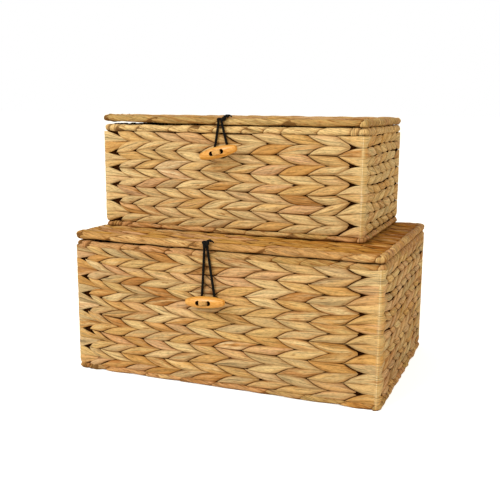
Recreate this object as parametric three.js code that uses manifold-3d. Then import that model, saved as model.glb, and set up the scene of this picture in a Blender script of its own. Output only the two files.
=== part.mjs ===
// A pair of lidded storage baskets, woven from water hyacinth leaf over welded wire. The small one stands on
// the lid of the large one. Millimetres, +Z up, the fronts face -Y, and the origin lies on the floor under the
// middle of the large basket.
import * as THREE from "three";
import { mergeVertices } from "three/addons/utils/BufferGeometryUtils.js";
import Module from "manifold-3d";

const wasm = await Module();
wasm.setup();

// Large basket, over its borders and without its lid
const largeWidth = 400;
const largeDepth = 272;
const largeHeight = 170;
// Small basket
const smallWidth = 354;
const smallDepth = 208;
const smallHeight = 136;
// Where the small basket stands on the large lid: its middle from the large one's, and its back's setback
const smallOffset = -16.4;
const smallSetback = 1;

// Frame: round wire, welded where it crosses, carried through bores in the leaf
const wireDiameter = 3.5;
const wireBoreGap = 0.4;
const cornerRadius = 6;
const uprightSpacing = 133;
const floorWireSpacing = 133;
const lidWireSpacing = 133;

// Borders: leaf wound round the edge wires, eight-sided, measured across the flats
const rimAcross = 9.4;
const baseAcross = 7.4;
// The clearance that pieces keep where they rest on each other
const seat = 0.3;

// Weave: rows of slanted stitches, each row leaning the other way, domed over the wires
const rowHeight = 11.3;
const lidRowHeight = 13;
const stitchPitch = 34;
// A stitch's edge crosses its row over this length, and is half way across at this share of it
const stitchLean = 32;
const stitchBend = 0.32;
// Where each stitch of the fronts starts after the first one, from the middle, as shares of the width
const largeStitches = [-0.408, -0.335, -0.252, -0.17, -0.092, -0.005, 0.092, 0.192, 0.292, 0.398];
const smallStitches = [-0.366, -0.284, -0.194, -0.095, -0.002, 0.094, 0.196, 0.301, 0.408];
// How far the stitches stand up from the seams, and how far the walls stand out past the borders
const wallDome = 2.2;
const wallProud = 0.8;
const lidDome = 1.8;
// The last leaf at each row's left end goes round the corner, and stands up by this share of a stitch's dome
const endDome = 0.6;
// Leaf behind the wires, from their middle to the wall's inner face and the lid's underside
const wallBacking = 3.4;
const lidBacking = 3.9;
const floorThickness = 6.9;

// Corners: the rows turn round each post in a scalloped sleeve
const cornerWaist = 6.2;
const cornerBulge = 7.2;

// Lid ties: flat bands of leaf round the two back wires, sunk in necks of both borders
const tieWidth = 8;
const tieThickness = 1.1;
const tieNeckRadius = 3.2;
const tieSideGap = 0.5;
const tieInset = 62;

// Toggle: a turned spindle with two holes
const toggleLength = 50;
const toggleDiameter = 14.5;
const toggleEndDiameter = 7;
const toggleHoleDiameter = 4.5;
const toggleHoleSpacing = 13.6;
const toggleStandoff = 4.2;
// The strand that ties the toggle on, and its neck through the front wall
const strandDiameter = 2.6;
const neckDiameter = 4.6;
const neckBoreGap = 0.5;
const strandKnotDiameter = 10;
// Elastic cord
const elasticDiameter = 2.4;
const elasticSpread = 15.6;
const knotDiameter = 7;
const stopperDiameter = 5.2;

// Where each closure sits: the toggle's place along the front and below the rim, its tilt, the knot's place
const largeClosure = { toggleAt: -12.2, toggleDrop: 60, tilt: 3.7, knotAt: -14.9 };
const smallClosure = { toggleAt: -6.4, toggleDrop: 32, tilt: 14, knotAt: -2.2 };

const borderSides = 8;
const wireSides = 5;
const sleeveSides = 6;
const flatOf = (sides) => Math.cos(Math.PI / sides);
const wireRadius = wireDiameter / 2;
const boreRadius = wireRadius + wireBoreGap;
const rimFlat = rimAcross / 2;
const rimCorner = rimFlat / flatOf(borderSides);
const baseFlat = baseAcross / 2;
// The lid border turns on its own centre, so its corners have to clear the rim below it
const lidRise = rimFlat + rimCorner + seat;

const leafColours = { wall: 0xcfae74, border: 0xc49a5c, corner: 0xd8bb86, tie: 0xb98d50 };

function solidFrom(geometry) {
  const bare = geometry.index ? geometry.toNonIndexed() : geometry.clone();
  bare.deleteAttribute("normal");
  bare.deleteAttribute("uv");
  const merged = mergeVertices(bare, 1e-4);
  const mesh = new wasm.Mesh({
    numProp: 3,
    vertProperties: merged.attributes.position.array,
    triVerts: new Uint32Array(merged.index.array),
  });
  return new wasm.Manifold(mesh);
}

function geometryFrom(solid) {
  const mesh = solid.getMesh();
  const geometry = new THREE.BufferGeometry();
  geometry.setAttribute("position", new THREE.BufferAttribute(mesh.vertProperties, 3));
  geometry.setIndex(new THREE.BufferAttribute(mesh.triVerts, 1));
  const faceted = geometry.toNonIndexed();
  faceted.computeVertexNormals();
  return faceted;
}

function joined(solids) {
  return solids.reduce((whole, piece) => whole.add(piece));
}

function cut(body, cutters) {
  return cutters.reduce((left, cutter) => left.subtract(cutter), body);
}

// A straight rod between two points.
function rod(from, to, radius, sides) {
  const start = new THREE.Vector3(...from);
  const along = new THREE.Vector3(...to).sub(start);
  const geometry = new THREE.CylinderGeometry(radius, radius, along.length(), sides);
  geometry.translate(0, along.length() / 2, 0);
  const turn = new THREE.Quaternion().setFromUnitVectors(new THREE.Vector3(0, 1, 0), along.normalize());
  geometry.applyQuaternion(turn);
  geometry.translate(...from);
  return solidFrom(geometry);
}

function box(low, high) {
  const size = high.map((value, k) => value - low[k]);
  const geometry = new THREE.BoxGeometry(...size);
  geometry.translate(...high.map((value, k) => (value + low[k]) / 2));
  return solidFrom(geometry);
}

// A round cord through points, on a smooth curve.
function cord(points, diameter, sides, steps) {
  const curve = new THREE.CatmullRomCurve3(points.map((p) => new THREE.Vector3(...p)));
  const section = new THREE.Shape();
  for (let k = 0; k < sides; k++) {
    const angle = (2 * Math.PI * k) / sides;
    const place = [(Math.cos(angle) * diameter) / 2, (Math.sin(angle) * diameter) / 2];
    if (k === 0) {
      section.moveTo(...place);
    } else {
      section.lineTo(...place);
    }
  }
  section.closePath();
  return solidFrom(new THREE.ExtrudeGeometry(section, { steps, extrudePath: curve }));
}

function ball(centre, diameter, flatten = [1, 1, 1]) {
  const geometry = new THREE.SphereGeometry(diameter / 2, 6, 4);
  geometry.scale(...flatten);
  geometry.translate(...centre);
  return solidFrom(geometry);
}

// A closed ring: at each frame a section of [u, v] places is set out along the frame's two directions.
function ringSweep(frames, section) {
  const places = [];
  for (const { at, u, v } of frames) {
    for (const [a, b] of section) {
      places.push(at.x + a * u.x + b * v.x, at.y + a * u.y + b * v.y, at.z + a * u.z + b * v.z);
    }
  }
  const around = section.length;
  const index = [];
  for (let f = 0; f < frames.length; f++) {
    const next = (f + 1) % frames.length;
    for (let s = 0; s < around; s++) {
      const after = (s + 1) % around;
      const a = f * around + s;
      const b = f * around + after;
      const c = next * around + s;
      const d = next * around + after;
      index.push(a, c, b, b, c, d);
    }
  }
  const geometry = new THREE.BufferGeometry();
  geometry.setAttribute("position", new THREE.BufferAttribute(new Float32Array(places), 3));
  geometry.setIndex(index);
  return solidFrom(geometry);
}

// Frames round a level rectangle with round corners, u pointing outwards and v up.
function cornerFrames(halfX, halfY, radius, z) {
  const frames = [];
  const arcSteps = 2;
  const up = new THREE.Vector3(0, 0, 1);
  for (let corner = 0; corner < 4; corner++) {
    const signX = corner === 0 || corner === 3 ? 1 : -1;
    const signY = corner < 2 ? 1 : -1;
    for (let step = 0; step <= arcSteps; step++) {
      const angle = (Math.PI / 2) * (corner + step / arcSteps);
      const out = new THREE.Vector3(Math.cos(angle), Math.sin(angle), 0);
      const at = new THREE.Vector3(signX * (halfX - radius), signY * (halfY - radius), z);
      frames.push({ at: at.addScaledVector(out, radius), u: out, v: up });
    }
  }
  return frames;
}

// A regular section with flats up, down, inwards and outwards.
function regularSection(cornerDistance, sides) {
  const section = [];
  for (let k = 0; k < sides; k++) {
    const angle = (2 * Math.PI * (k + 0.5)) / sides;
    section.push([cornerDistance * Math.cos(angle), cornerDistance * Math.sin(angle)]);
  }
  return section;
}

function edgeRing(basket, z, cornerDistance, sides) {
  const frames = cornerFrames(basket.width / 2 - rimFlat, basket.depth / 2 - rimFlat, cornerRadius, z);
  return ringSweep(frames, regularSection(cornerDistance, sides));
}

// A plate with round corners, its sides a given distance inside the edge wire's line.
function plate(basket, inside, bottom, top) {
  const halfX = basket.width / 2 - rimFlat - inside;
  const halfY = basket.depth / 2 - rimFlat - inside;
  const radius = cornerRadius - inside;
  const outline = new THREE.Shape();
  outline.moveTo(halfX, -halfY + radius);
  outline.lineTo(halfX, halfY - radius);
  outline.absarc(halfX - radius, halfY - radius, radius, 0, Math.PI / 2);
  outline.absarc(radius - halfX, halfY - radius, radius, Math.PI / 2, Math.PI);
  outline.absarc(radius - halfX, radius - halfY, radius, Math.PI, 1.5 * Math.PI);
  outline.absarc(halfX - radius, radius - halfY, radius, 1.5 * Math.PI, 2 * Math.PI);
  const geometry = new THREE.ExtrudeGeometry(outline, {
    depth: top - bottom,
    bevelEnabled: false,
    curveSegments: 1,
  });
  geometry.translate(0, 0, bottom);
  return solidFrom(geometry);
}

// Stitch starts set out evenly from a wall's left end.
function evenStitches(length) {
  const columns = Math.round(length / stitchPitch);
  return Array.from({ length: columns }, (_, column) => length * (column / columns - 1 / 2));
}

// Herringbone weave as a slab: X along the rows, Z up across them, and the domed side towards -Y.
// Every other seam, from the top one or the next, holds the stitches' left tips. The seams between hold their
// right tails, set off by the lean, so the rows lean in turn. The edge between two stitches is bent, so that
// each one has a leaf's outline, and its facets rise to its crown. The slab's ends cut the last ones straight.
function weaveSlab({ length, across, rows, starts, tipsFrom, crown, dome, backing }) {
  const columns = starts.length;
  const left = -length / 2;
  const right = length / 2;
  const low = -across / 2;
  const high = across / 2;
  const valley = dome - crown;
  const places = [];
  const index = [];
  const point = (x, y, z) => places.push(x, y, z) / 3 - 1;
  const seams = [];
  for (let seam = 0; seam <= rows; seam++) {
    const z = high - (across * seam) / rows;
    const tails = (seam + tipsFrom) % 2 === 1;
    const row = tails ? [point(left, valley, z)] : [];
    for (const start of starts) {
      const lean = tails ? Math.min(stitchLean, (right - start) / 2) : 0;
      row.push(point(start + lean, valley, z));
    }
    row.push(point(right, valley, z));
    seams.push(row);
  }
  // Facets from a ring of seam points up to one point over their middle.
  const raise = (ring, height) => {
    const middle = (k) => ring.reduce((sum, corner) => sum + places[3 * corner + k], 0) / ring.length;
    const top = point(middle(0), valley - height, middle(2));
    ring.forEach((corner, k) => index.push(corner, top, ring[(k + 1) % ring.length]));
  };
  for (let row = 0; row < rows; row++) {
    const above = seams[row];
    const below = seams[row + 1];
    const skipAbove = (row + tipsFrom) % 2;
    const skipBelow = 1 - skipAbove;
    const z = high - (across * (row + 0.5)) / rows;
    const tips = skipAbove ? below : above;
    const tails = skipAbove ? above : below;
    const bends = starts.map((start, column) => {
      const lean = places[3 * tails[column + 1]] - places[3 * tips[column]];
      return [point(start + stitchBend * lean, valley, z)];
    });
    bends.push([]);
    for (let column = 0; column < columns; column++) {
      raise([
        above[column + skipAbove],
        above[column + skipAbove + 1],
        ...bends[column + 1],
        below[column + skipBelow + 1],
        below[column + skipBelow],
        ...bends[column],
      ], dome);
    }
    const [bend] = bends[0];
    const end = skipAbove ? [above[0], above[1], bend, below[0]] : [above[0], bend, below[1], below[0]];
    raise(end, endDome * dome);
  }
  const back = [
    point(left, backing, high),
    point(right, backing, high),
    point(right, backing, low),
    point(left, backing, low),
  ];
  // Each edge is a fan from one back corner over the seam's points, closed to the next back corner.
  const edges = [
    seams[0],
    seams.map((row) => row.at(-1)),
    seams[rows].toReversed(),
    seams.map((row) => row[0]).reverse(),
  ];
  edges.forEach((edge, side) => {
    for (let k = 0; k + 1 < edge.length; k++) {
      index.push(edge[k], edge[k + 1], back[side]);
    }
    index.push(edge.at(-1), back[(side + 1) % 4], back[side]);
  });
  index.push(back[0], back[1], back[2], back[0], back[2], back[3]);
  const geometry = new THREE.BufferGeometry();
  geometry.setAttribute("position", new THREE.BufferAttribute(new Float32Array(places), 3));
  geometry.setIndex(index);
  return geometry;
}

// Every size and place of one basket that follows from its width, depth and height.
function layout(name, width, depth, height, stitches, closure) {
  const postX = width / 2 - rimFlat - cornerRadius * (1 - Math.SQRT1_2);
  const postY = depth / 2 - rimFlat - cornerRadius * (1 - Math.SQRT1_2);
  const wallBottom = baseAcross + seat;
  const wallTop = height - rimAcross - seat;
  const cornerReach = cornerBulge + seat;
  return {
    name,
    width,
    depth,
    height,
    frontStitches: stitches.map((share) => share * width),
    closure,
    postX,
    postY,
    wallBottom,
    wallTop,
    wireX: width / 2 - rimFlat,
    wireY: depth / 2 - rimFlat,
    rimZ: height - rimFlat,
    baseZ: baseFlat,
    lidZ: height - rimFlat + lidRise,
    wallLengthX: 2 * (postX - cornerReach),
    wallLengthY: 2 * (postY - cornerReach),
    wallRows: 2 * Math.round((wallTop - wallBottom) / rowHeight / 2),
  };
}

// Places a spacing apart and even about the middle, as many as leave about a spacing at each end.
function evenPlaces(length, spacing) {
  const count = Math.max(1, Math.round(length / spacing) - 1);
  return Array.from({ length: count }, (_, k) => (k - (count - 1) / 2) * spacing);
}

// Welded body frame: rim and base wires, corner posts, uprights in the walls and cross wires under the floor.
function bodyWires(b, radius) {
  const wires = [
    edgeRing(b, b.rimZ, radius, wireSides),
    edgeRing(b, b.baseZ, radius, wireSides),
  ];
  for (const x of [-b.postX, b.postX]) {
    for (const y of [-b.postY, b.postY]) {
      wires.push(rod([x, y, b.baseZ], [x, y, b.rimZ], radius, wireSides));
    }
  }
  for (const x of evenPlaces(b.width, uprightSpacing)) {
    wires.push(rod([x, -b.wireY, b.baseZ], [x, -b.wireY, b.rimZ], radius, wireSides));
    wires.push(rod([x, b.wireY, b.baseZ], [x, b.wireY, b.rimZ], radius, wireSides));
  }
  for (const y of evenPlaces(b.depth, uprightSpacing)) {
    wires.push(rod([-b.wireX, y, b.baseZ], [-b.wireX, y, b.rimZ], radius, wireSides));
    wires.push(rod([b.wireX, y, b.baseZ], [b.wireX, y, b.rimZ], radius, wireSides));
  }
  for (const x of evenPlaces(b.width, floorWireSpacing)) {
    wires.push(rod([x, -b.wireY, b.baseZ], [x, b.wireY, b.baseZ], radius, wireSides));
  }
  return joined(wires);
}

// Welded lid frame: the edge wire and the wires across it.
function lidWires(b, radius) {
  const wires = [edgeRing(b, b.lidZ, radius, wireSides)];
  for (const x of evenPlaces(b.width, lidWireSpacing)) {
    wires.push(rod([x, -b.wireY, b.lidZ], [x, b.wireY, b.lidZ], radius, wireSides));
  }
  return joined(wires);
}

// One woven wall. The rows lean the other way on the sides than on the front and back, because each one goes
// on round the corner. Quarter turns about Z bring the wall to its side of the basket.
function wall(b, quarters, starts) {
  const side = quarters % 2 !== 0;
  const length = side ? b.wallLengthY : b.wallLengthX;
  const slab = weaveSlab({
    length,
    across: b.wallTop - b.wallBottom,
    rows: b.wallRows,
    starts: starts ? [-length / 2, ...starts] : evenStitches(length),
    tipsFrom: side ? 1 : 0,
    crown: rimFlat + wallProud,
    dome: wallDome,
    backing: wallBacking,
  });
  slab.translate(0, -(side ? b.wireX : b.wireY), (b.wallTop + b.wallBottom) / 2);
  slab.rotateZ((quarters * Math.PI) / 2);
  return solidFrom(slab);
}

// The lid's woven top: the same weave laid flat, with the rows from side to side.
// Its square corners clear the round inner corners of the border.
function lidTop(b) {
  const inside = cornerRadius - (cornerRadius - rimFlat - seat) * Math.SQRT1_2;
  const length = 2 * (b.wireX - inside);
  const across = 2 * (b.wireY - inside);
  const slab = weaveSlab({
    length,
    across,
    rows: 2 * Math.round(across / lidRowHeight / 2),
    starts: evenStitches(length),
    tipsFrom: 0,
    crown: rimFlat,
    dome: lidDome,
    backing: lidBacking,
  });
  slab.rotateX(-Math.PI / 2);
  slab.translate(0, 0, b.lidZ);
  return solidFrom(slab);
}

// The rows' turns round a corner post: one scallop for each pair of rows, with its waists on every other seam
// from the given one.
function cornerSleeve(b, x, y, waistsFrom) {
  const step = (b.wallTop - b.wallBottom) / b.wallRows;
  const profile = [new THREE.Vector2(boreRadius, b.wallBottom)];
  for (let seam = 0; seam <= b.wallRows; seam++) {
    const radius = (seam + waistsFrom) % 2 === 0 ? cornerWaist : cornerBulge;
    profile.push(new THREE.Vector2(radius, b.wallBottom + seam * step));
  }
  profile.push(new THREE.Vector2(boreRadius, b.wallTop));
  profile.push(profile[0].clone());
  const geometry = new THREE.LatheGeometry(profile, sleeveSides);
  geometry.rotateX(Math.PI / 2);
  geometry.translate(x, y, 0);
  return geometry;
}

// A ring cutter that leaves a neck round the back wire at height z, for one tie.
function neckCutter(b, x, z) {
  const half = tieWidth / 2 + tieSideGap;
  const reach = 2 * rimFlat;
  const outer = rod([x - half, b.wireY, z], [x + half, b.wireY, z], reach, 8);
  const core = rod([x - 2 * half, b.wireY, z], [x + 2 * half, b.wireY, z], tieNeckRadius, 8);
  return outer.subtract(core);
}

// A tie: a flat band on a long round path about the two back wires.
function tie(b, x) {
  const radius = tieNeckRadius + tieSideGap + tieThickness / 2;
  const arcSteps = 6;
  const frames = [];
  const along = new THREE.Vector3(1, 0, 0);
  for (let half = 0; half < 2; half++) {
    const z = half === 0 ? b.lidZ : b.rimZ;
    for (let step = 0; step <= arcSteps; step++) {
      const angle = Math.PI * (half + step / arcSteps);
      const out = new THREE.Vector3(0, Math.cos(angle), Math.sin(angle));
      const at = new THREE.Vector3(x, b.wireY, z).addScaledVector(out, radius);
      frames.push({ at, u: out, v: along });
    }
  }
  const t = tieThickness / 2;
  const w = tieWidth / 2;
  return ringSweep(frames, [[t, w], [-t, w], [-t, -w], [t, -w]]);
}

// Turned wooden spindle along X, bored from front to back.
function toggle(b) {
  const { at, turn } = togglePlace(b);
  const rings = 6;
  const profile = [new THREE.Vector2(0, -toggleLength / 2)];
  for (let k = 0; k <= rings; k++) {
    const share = (2 * k) / rings - 1;
    const swell = 1 - share * share;
    const radius = (toggleEndDiameter + (toggleDiameter - toggleEndDiameter) * swell) / 2;
    profile.push(new THREE.Vector2(radius, (share * toggleLength) / 2));
  }
  profile.push(new THREE.Vector2(0, toggleLength / 2));
  const spindle = new THREE.LatheGeometry(profile, 10);
  spindle.rotateZ(-Math.PI / 2);
  const holes = [-1, 1].map((side) => {
    const x = (side * toggleHoleSpacing) / 2;
    return rod([x, -toggleDiameter, 0], [x, toggleDiameter, 0], toggleHoleDiameter / 2, 6);
  });
  const geometry = geometryFrom(cut(solidFrom(spindle), holes));
  geometry.rotateY(-turn);
  geometry.translate(...at);
  return geometry;
}

// The toggle's middle, and its tilt about the line through the front wall.
function togglePlace(b) {
  const away = b.depth / 2 + toggleStandoff + toggleDiameter / 2;
  return {
    at: [b.closure.toggleAt, -away, b.height - b.closure.toggleDrop],
    turn: THREE.MathUtils.degToRad(b.closure.tilt),
  };
}

// The pale strand: out through one hole, across the front, back through the other, and by one neck to a knot
// inside the wall.
function toggleStrand(b) {
  const { at, turn } = togglePlace(b);
  const hole = toggleHoleSpacing / 2;
  const front = -toggleDiameter / 2 - strandDiameter / 2 - seat;
  const back = (toggleDiameter + toggleStandoff - wallProud) / 2;
  // One half of the staple, from its middle in front to where it meets the neck, easing round its two bends
  const half = [
    [0, front, 0],
    [hole - 1.6, front + 0.2, 0],
    [hole, front + 2.6, 0],
    [hole, back - 3, 0],
    [hole - 1.2, back - 0.4, 0],
    [1, back + 0.3, 0],
  ];
  const staple = [...half.map(([x, y, z]) => [-x, y, z]).reverse(), ...half.slice(1)];
  const inner = toggleDiameter / 2 + toggleStandoff + rimFlat + wallBacking;
  const knotAt = inner + seat + strandKnotDiameter / 4;
  const strand = joined([
    cord(staple, strandDiameter, 5, 16),
    rod([0, back - 1, 0], [0, knotAt, 0], neckDiameter / 2, 6),
    ball([0, knotAt, 0], strandKnotDiameter, [1, 0.5, 1]),
  ]);
  const geometry = geometryFrom(strand);
  geometry.rotateY(-turn);
  geometry.translate(...at);
  return geometry;
}

// Bore through the front wall for the strand's neck.
function neckBore(b) {
  const { at } = togglePlace(b);
  const [x, , z] = at;
  return rod([x, -b.depth, z], [x, 0, z], neckDiameter / 2 + neckBoreGap, 6);
}

// The knot's centre: in front of the lid border, a little above the wire.
function knotPlace(b) {
  const reach = rimCorner + seat + knotDiameter / 2;
  const rise = THREE.MathUtils.degToRad(35);
  return [b.closure.knotAt, -b.wireY - reach * Math.cos(rise), b.lidZ + reach * Math.sin(rise)];
}

// Where the elastic goes down through the lid, behind the border.
function dropY(b) {
  return -b.wireY + rimFlat + seat + stopperDiameter / 2 + 1;
}

// The elastic's knotted end: the knot, the doubled cord over the border and down through the lid, its stopper.
function elasticKnot(b) {
  const [x, y, z] = knotPlace(b);
  const top = b.lidZ + rimCorner + elasticDiameter / 2 + seat;
  const under = b.lidZ - lidBacking - seat - stopperDiameter / 2;
  const back = dropY(b);
  const over = cord(
    [[x, y, z], [x, -b.wireY - 2.6, top - 0.1], [x, -b.wireY + 2, top + 0.1], [x, back - 2.2, top - 0.6],
      [x, back, b.lidZ + 1.5], [x, back, under]],
    elasticDiameter, 5, 10,
  );
  return joined([ball([x, y, z], knotDiameter), over, ball([x, back, under], stopperDiameter)]);
}

// Slot through the lid for that cord.
function elasticSlot(b) {
  const half = elasticDiameter / 2 + seat;
  const back = dropY(b);
  const low = [b.closure.knotAt - half, back - 3 * half, b.lidZ - 2 * rimFlat];
  const high = [b.closure.knotAt + half, back + half + seat, b.lidZ + 2 * rimFlat];
  return box(low, high);
}

// The stretched elastic: down from the knot, behind the toggle, round under the strand's neck and up again.
function elasticLoop(b) {
  const [knotX, , knotZ] = knotPlace(b);
  const [middle, , z] = togglePlace(b).at;
  const y = -b.depth / 2 - (toggleStandoff + wallProud) / 2;
  const half = elasticSpread / 2;
  const out = toggleHoleSpacing / 2 + (strandDiameter + elasticDiameter) / 2 + seat;
  const top = knotZ - knotDiameter / 2 - seat;
  const start = elasticDiameter / 2 + seat;
  // One side of the loop, as places beside and above the toggle's middle, from under the neck up past the strand
  const side = [[0, -6.4], [out - 3, -4.5], [out, 1], [half, 9]];
  const mirrored = side.slice(1).map(([x, rise]) => [-x, rise]).reverse();
  const round = [...mirrored, ...side].map(([x, rise]) => [middle + x, y, z + rise]);
  return cord([[knotX - start, y, top], ...round, [knotX + start, y, top]], elasticDiameter, 5, 24);
}

function material(color, roughness, metalness = 0) {
  return new THREE.MeshStandardMaterial({ color, roughness, metalness });
}

function mesh(name, shape, look) {
  const geometry = shape.isBufferGeometry ? shape : geometryFrom(shape);
  const made = new THREE.Mesh(geometry, look);
  made.name = name;
  return made;
}

function basket(b) {
  const group = new THREE.Group();
  const add = (name, shape, look) => group.add(mesh(b.name + "_" + name, shape, look));
  const leaf = material(leafColours.wall, 0.7);
  const borderLeaf = material(leafColours.border, 0.65);
  const cornerLeaf = material(leafColours.corner, 0.65);
  const tieLeaf = material(leafColours.tie, 0.65);
  const wire = material(0x3a3733, 0.5, 0.8);
  const tiePlaces = [-b.width / 2 + tieInset, 0, b.width / 2 - tieInset];
  const bodyBores = bodyWires(b, boreRadius);
  const lidBores = lidWires(b, boreRadius);

  add("frame", bodyWires(b, wireRadius), wire);
  add("front_weave", cut(wall(b, 0, b.frontStitches), [bodyBores, neckBore(b)]), leaf);
  add("right_weave", wall(b, 1).subtract(bodyBores), leaf);
  add("back_weave", wall(b, 2).subtract(bodyBores), leaf);
  add("left_weave", wall(b, 3).subtract(bodyBores), leaf);
  add("floor_weave", plate(b, baseFlat + seat, 0, floorThickness).subtract(bodyBores), leaf);

  const corners = [["front_left", -1, -1], ["front_right", 1, -1], ["back_right", 1, 1], ["back_left", -1, 1]];
  corners.forEach(([corner, sideX, sideY], k) => {
    add(corner + "_corner", cornerSleeve(b, sideX * b.postX, sideY * b.postY, k % 2), cornerLeaf);
  });

  const baseBorder = edgeRing(b, b.baseZ, baseFlat / flatOf(borderSides), borderSides);
  add("base_border", baseBorder.subtract(bodyBores), borderLeaf);
  const rimNecks = tiePlaces.map((x) => neckCutter(b, x, b.rimZ));
  add("rim_border", cut(edgeRing(b, b.rimZ, rimCorner, borderSides), [bodyBores, ...rimNecks]), borderLeaf);

  add("lid_frame", lidWires(b, wireRadius), wire);
  const lidNecks = tiePlaces.map((x) => neckCutter(b, x, b.lidZ));
  add("lid_border", cut(edgeRing(b, b.lidZ, rimCorner, borderSides), [lidBores, ...lidNecks]), borderLeaf);
  add("lid_weave", cut(lidTop(b), [lidBores, elasticSlot(b)]), leaf);
  ["left", "middle", "right"].forEach((place, k) => add(place + "_lid_tie", tie(b, tiePlaces[k]), tieLeaf));

  add("toggle", toggle(b), material(0xe0a04a, 0.4));
  add("toggle_strand", toggleStrand(b), material(0xe2cfa0, 0.7));
  add("elastic_knot", elasticKnot(b), material(0x151515, 0.8));
  add("elastic_loop", elasticLoop(b), material(0x151515, 0.8));
  return group;
}

const large = layout("lower", largeWidth, largeDepth, largeHeight, largeStitches, largeClosure);
const small = layout("upper", smallWidth, smallDepth, smallHeight, smallStitches, smallClosure);

const pair = new THREE.Group();
pair.name = "storage_baskets";
pair.add(basket(large));
const top = basket(small);
const standingOn = large.lidZ + rimFlat + seat;
top.position.set(smallOffset, (largeDepth - smallDepth) / 2 - smallSetback, standingOn);
pair.add(top);

export default pair;
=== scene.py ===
"""Looks for a pair of lidded storage baskets, twined from water hyacinth leaf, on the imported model's frame.

Lengths are in millimetres and angles in radians until a mesh is made. Every leaf is a small grid of points,
and the grids of one piece are worked out together as whole arrays.
"""

from types import SimpleNamespace

import bmesh
import bpy
import numpy as np
from mathutils import Matrix, Vector


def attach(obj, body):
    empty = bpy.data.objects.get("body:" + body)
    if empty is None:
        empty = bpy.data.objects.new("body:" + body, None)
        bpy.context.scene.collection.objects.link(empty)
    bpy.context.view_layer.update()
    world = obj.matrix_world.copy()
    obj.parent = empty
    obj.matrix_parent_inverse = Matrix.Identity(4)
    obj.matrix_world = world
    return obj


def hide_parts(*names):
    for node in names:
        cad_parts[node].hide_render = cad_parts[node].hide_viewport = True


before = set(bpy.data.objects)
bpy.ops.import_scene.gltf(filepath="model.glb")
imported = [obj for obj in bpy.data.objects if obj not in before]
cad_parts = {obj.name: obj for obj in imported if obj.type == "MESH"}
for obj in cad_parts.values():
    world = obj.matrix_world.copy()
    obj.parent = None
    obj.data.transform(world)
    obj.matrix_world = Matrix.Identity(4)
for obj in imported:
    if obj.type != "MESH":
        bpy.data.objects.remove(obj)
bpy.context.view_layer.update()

MM = 0.001
chance = np.random.default_rng(20)

# The edge wires: how far the rim wire's middle lies in from a wall's nominal outside and from the top, the
# base wire's height, how far the lid's wire lies over the rim's, and the borders' turn at the corners
RIM_HALF = 4.7
BASE_HALF = 3.7
LID_RISE = 10.087
EDGE_TURN = 4.0
# The leaf's outside lies this far past a wall's nominal outside, and the seams lie this far in from it
PROUD = 0.4
DOME = 2.5
# Stitches: the usual way from one to the next, how far before its tip a leaf starts, how much of the row's
# length its far edge takes to cross the row, how far its edges bow out, and how deep its tail sinks under
# the next leaf
STITCH = 34.0
START = 2.5
LEAN = 32.0
BOW = 1.3
SINK = 2.2
# The stitches that go round a corner cross the row as 1 - (1 - x)^TURN_STEEP, over each basket's turn_lean
TURN_STEEP = 2.3
# Over this distance a leaf is painted darker, as shade, towards the next one's edge
REACH_IN = 12.0
# The rows of a floor and a lid are about this wide
PANEL_ROW = 13.0
# The seams' own turn round a corner post, and the length of that quarter turn
POST_TURN = 3.0
QUARTER = POST_TURN * np.pi / 2
# The lowest part of a wall curves in, over this height and this far
FOOT_HEIGHT = 7.0
FOOT_IN = 2.0
# Lengths of leaf on an edge are wound round it where they are shorter than this, and else lie along it
SHORT_WRAP = 18.0
# The outer two of a lid's three ties lie this far in from its ends
TIE_IN = 62.0
# The toggle's half length, its radius at its middle and near its ends, how far it stands off the wall, and
# its holes' places and radius
TOGGLE_HALF = 25.0
TOGGLE_MIDDLE = 7.25
TOGGLE_END = 3.5
TOGGLE_OFF = 4.2
HOLE_AT = 6.8
HOLE = 3.0
# The strand's two sides meet this far behind the toggle's middle, and its knot lies this far behind it
STRAND_BACK = 9.0
STRAND_KNOT = 21.6
# The elastic's radius, those of its front knot and its stopper, and how far these stay off the leaf
CORD = 1.6
KNOT = 3.5
STOPPER = 2.6
KNOT_OFF = 0.3

# Places on the leaf colour ramp and how often they come: straw, pale, honey, pink tan, grey green, orange
# and brown
WALL_TONES = [0.06, 0.06, 0.2, 0.2, 0.34, 0.34, 0.5, 0.5, 0.66, 0.66, 0.66, 0.66, 0.8, 0.8, 0.92]
PALE_TONES = [0.1, 0.15, 0.2, 0.2, 0.2, 0.2, 0.2, 0.25, 0.34, 0.5, 0.6, 0.86]
LID_TONES = [0.1, 0.2, 0.3, 0.4, 0.5]
BASE_TONES = [0.3, 0.4, 0.85]
PALE_BORDER_TONES = [0.1, 0.2, 0.2, 0.22]
BORDER_TONES = [0.06, 0.2, 0.34, 0.34, 0.5, 0.66, 0.8]
DARK_BORDER_TONES = [0.34, 0.5, 0.66, 0.66, 0.8, 0.94]
OLIVE_BORDER_TONES = [0.5, 0.66, 0.7, 0.8]


def basket(**given):
    """One basket as it is given below, with its edge wires' places worked out."""
    b = SimpleNamespace(**given)
    b.rim_z = b.height - RIM_HALF
    b.lid_z = b.rim_z + LID_RISE
    b.wire_x = b.width / 2 - RIM_HALF
    b.wire_y = b.depth / 2 - RIM_HALF
    return b
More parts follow.
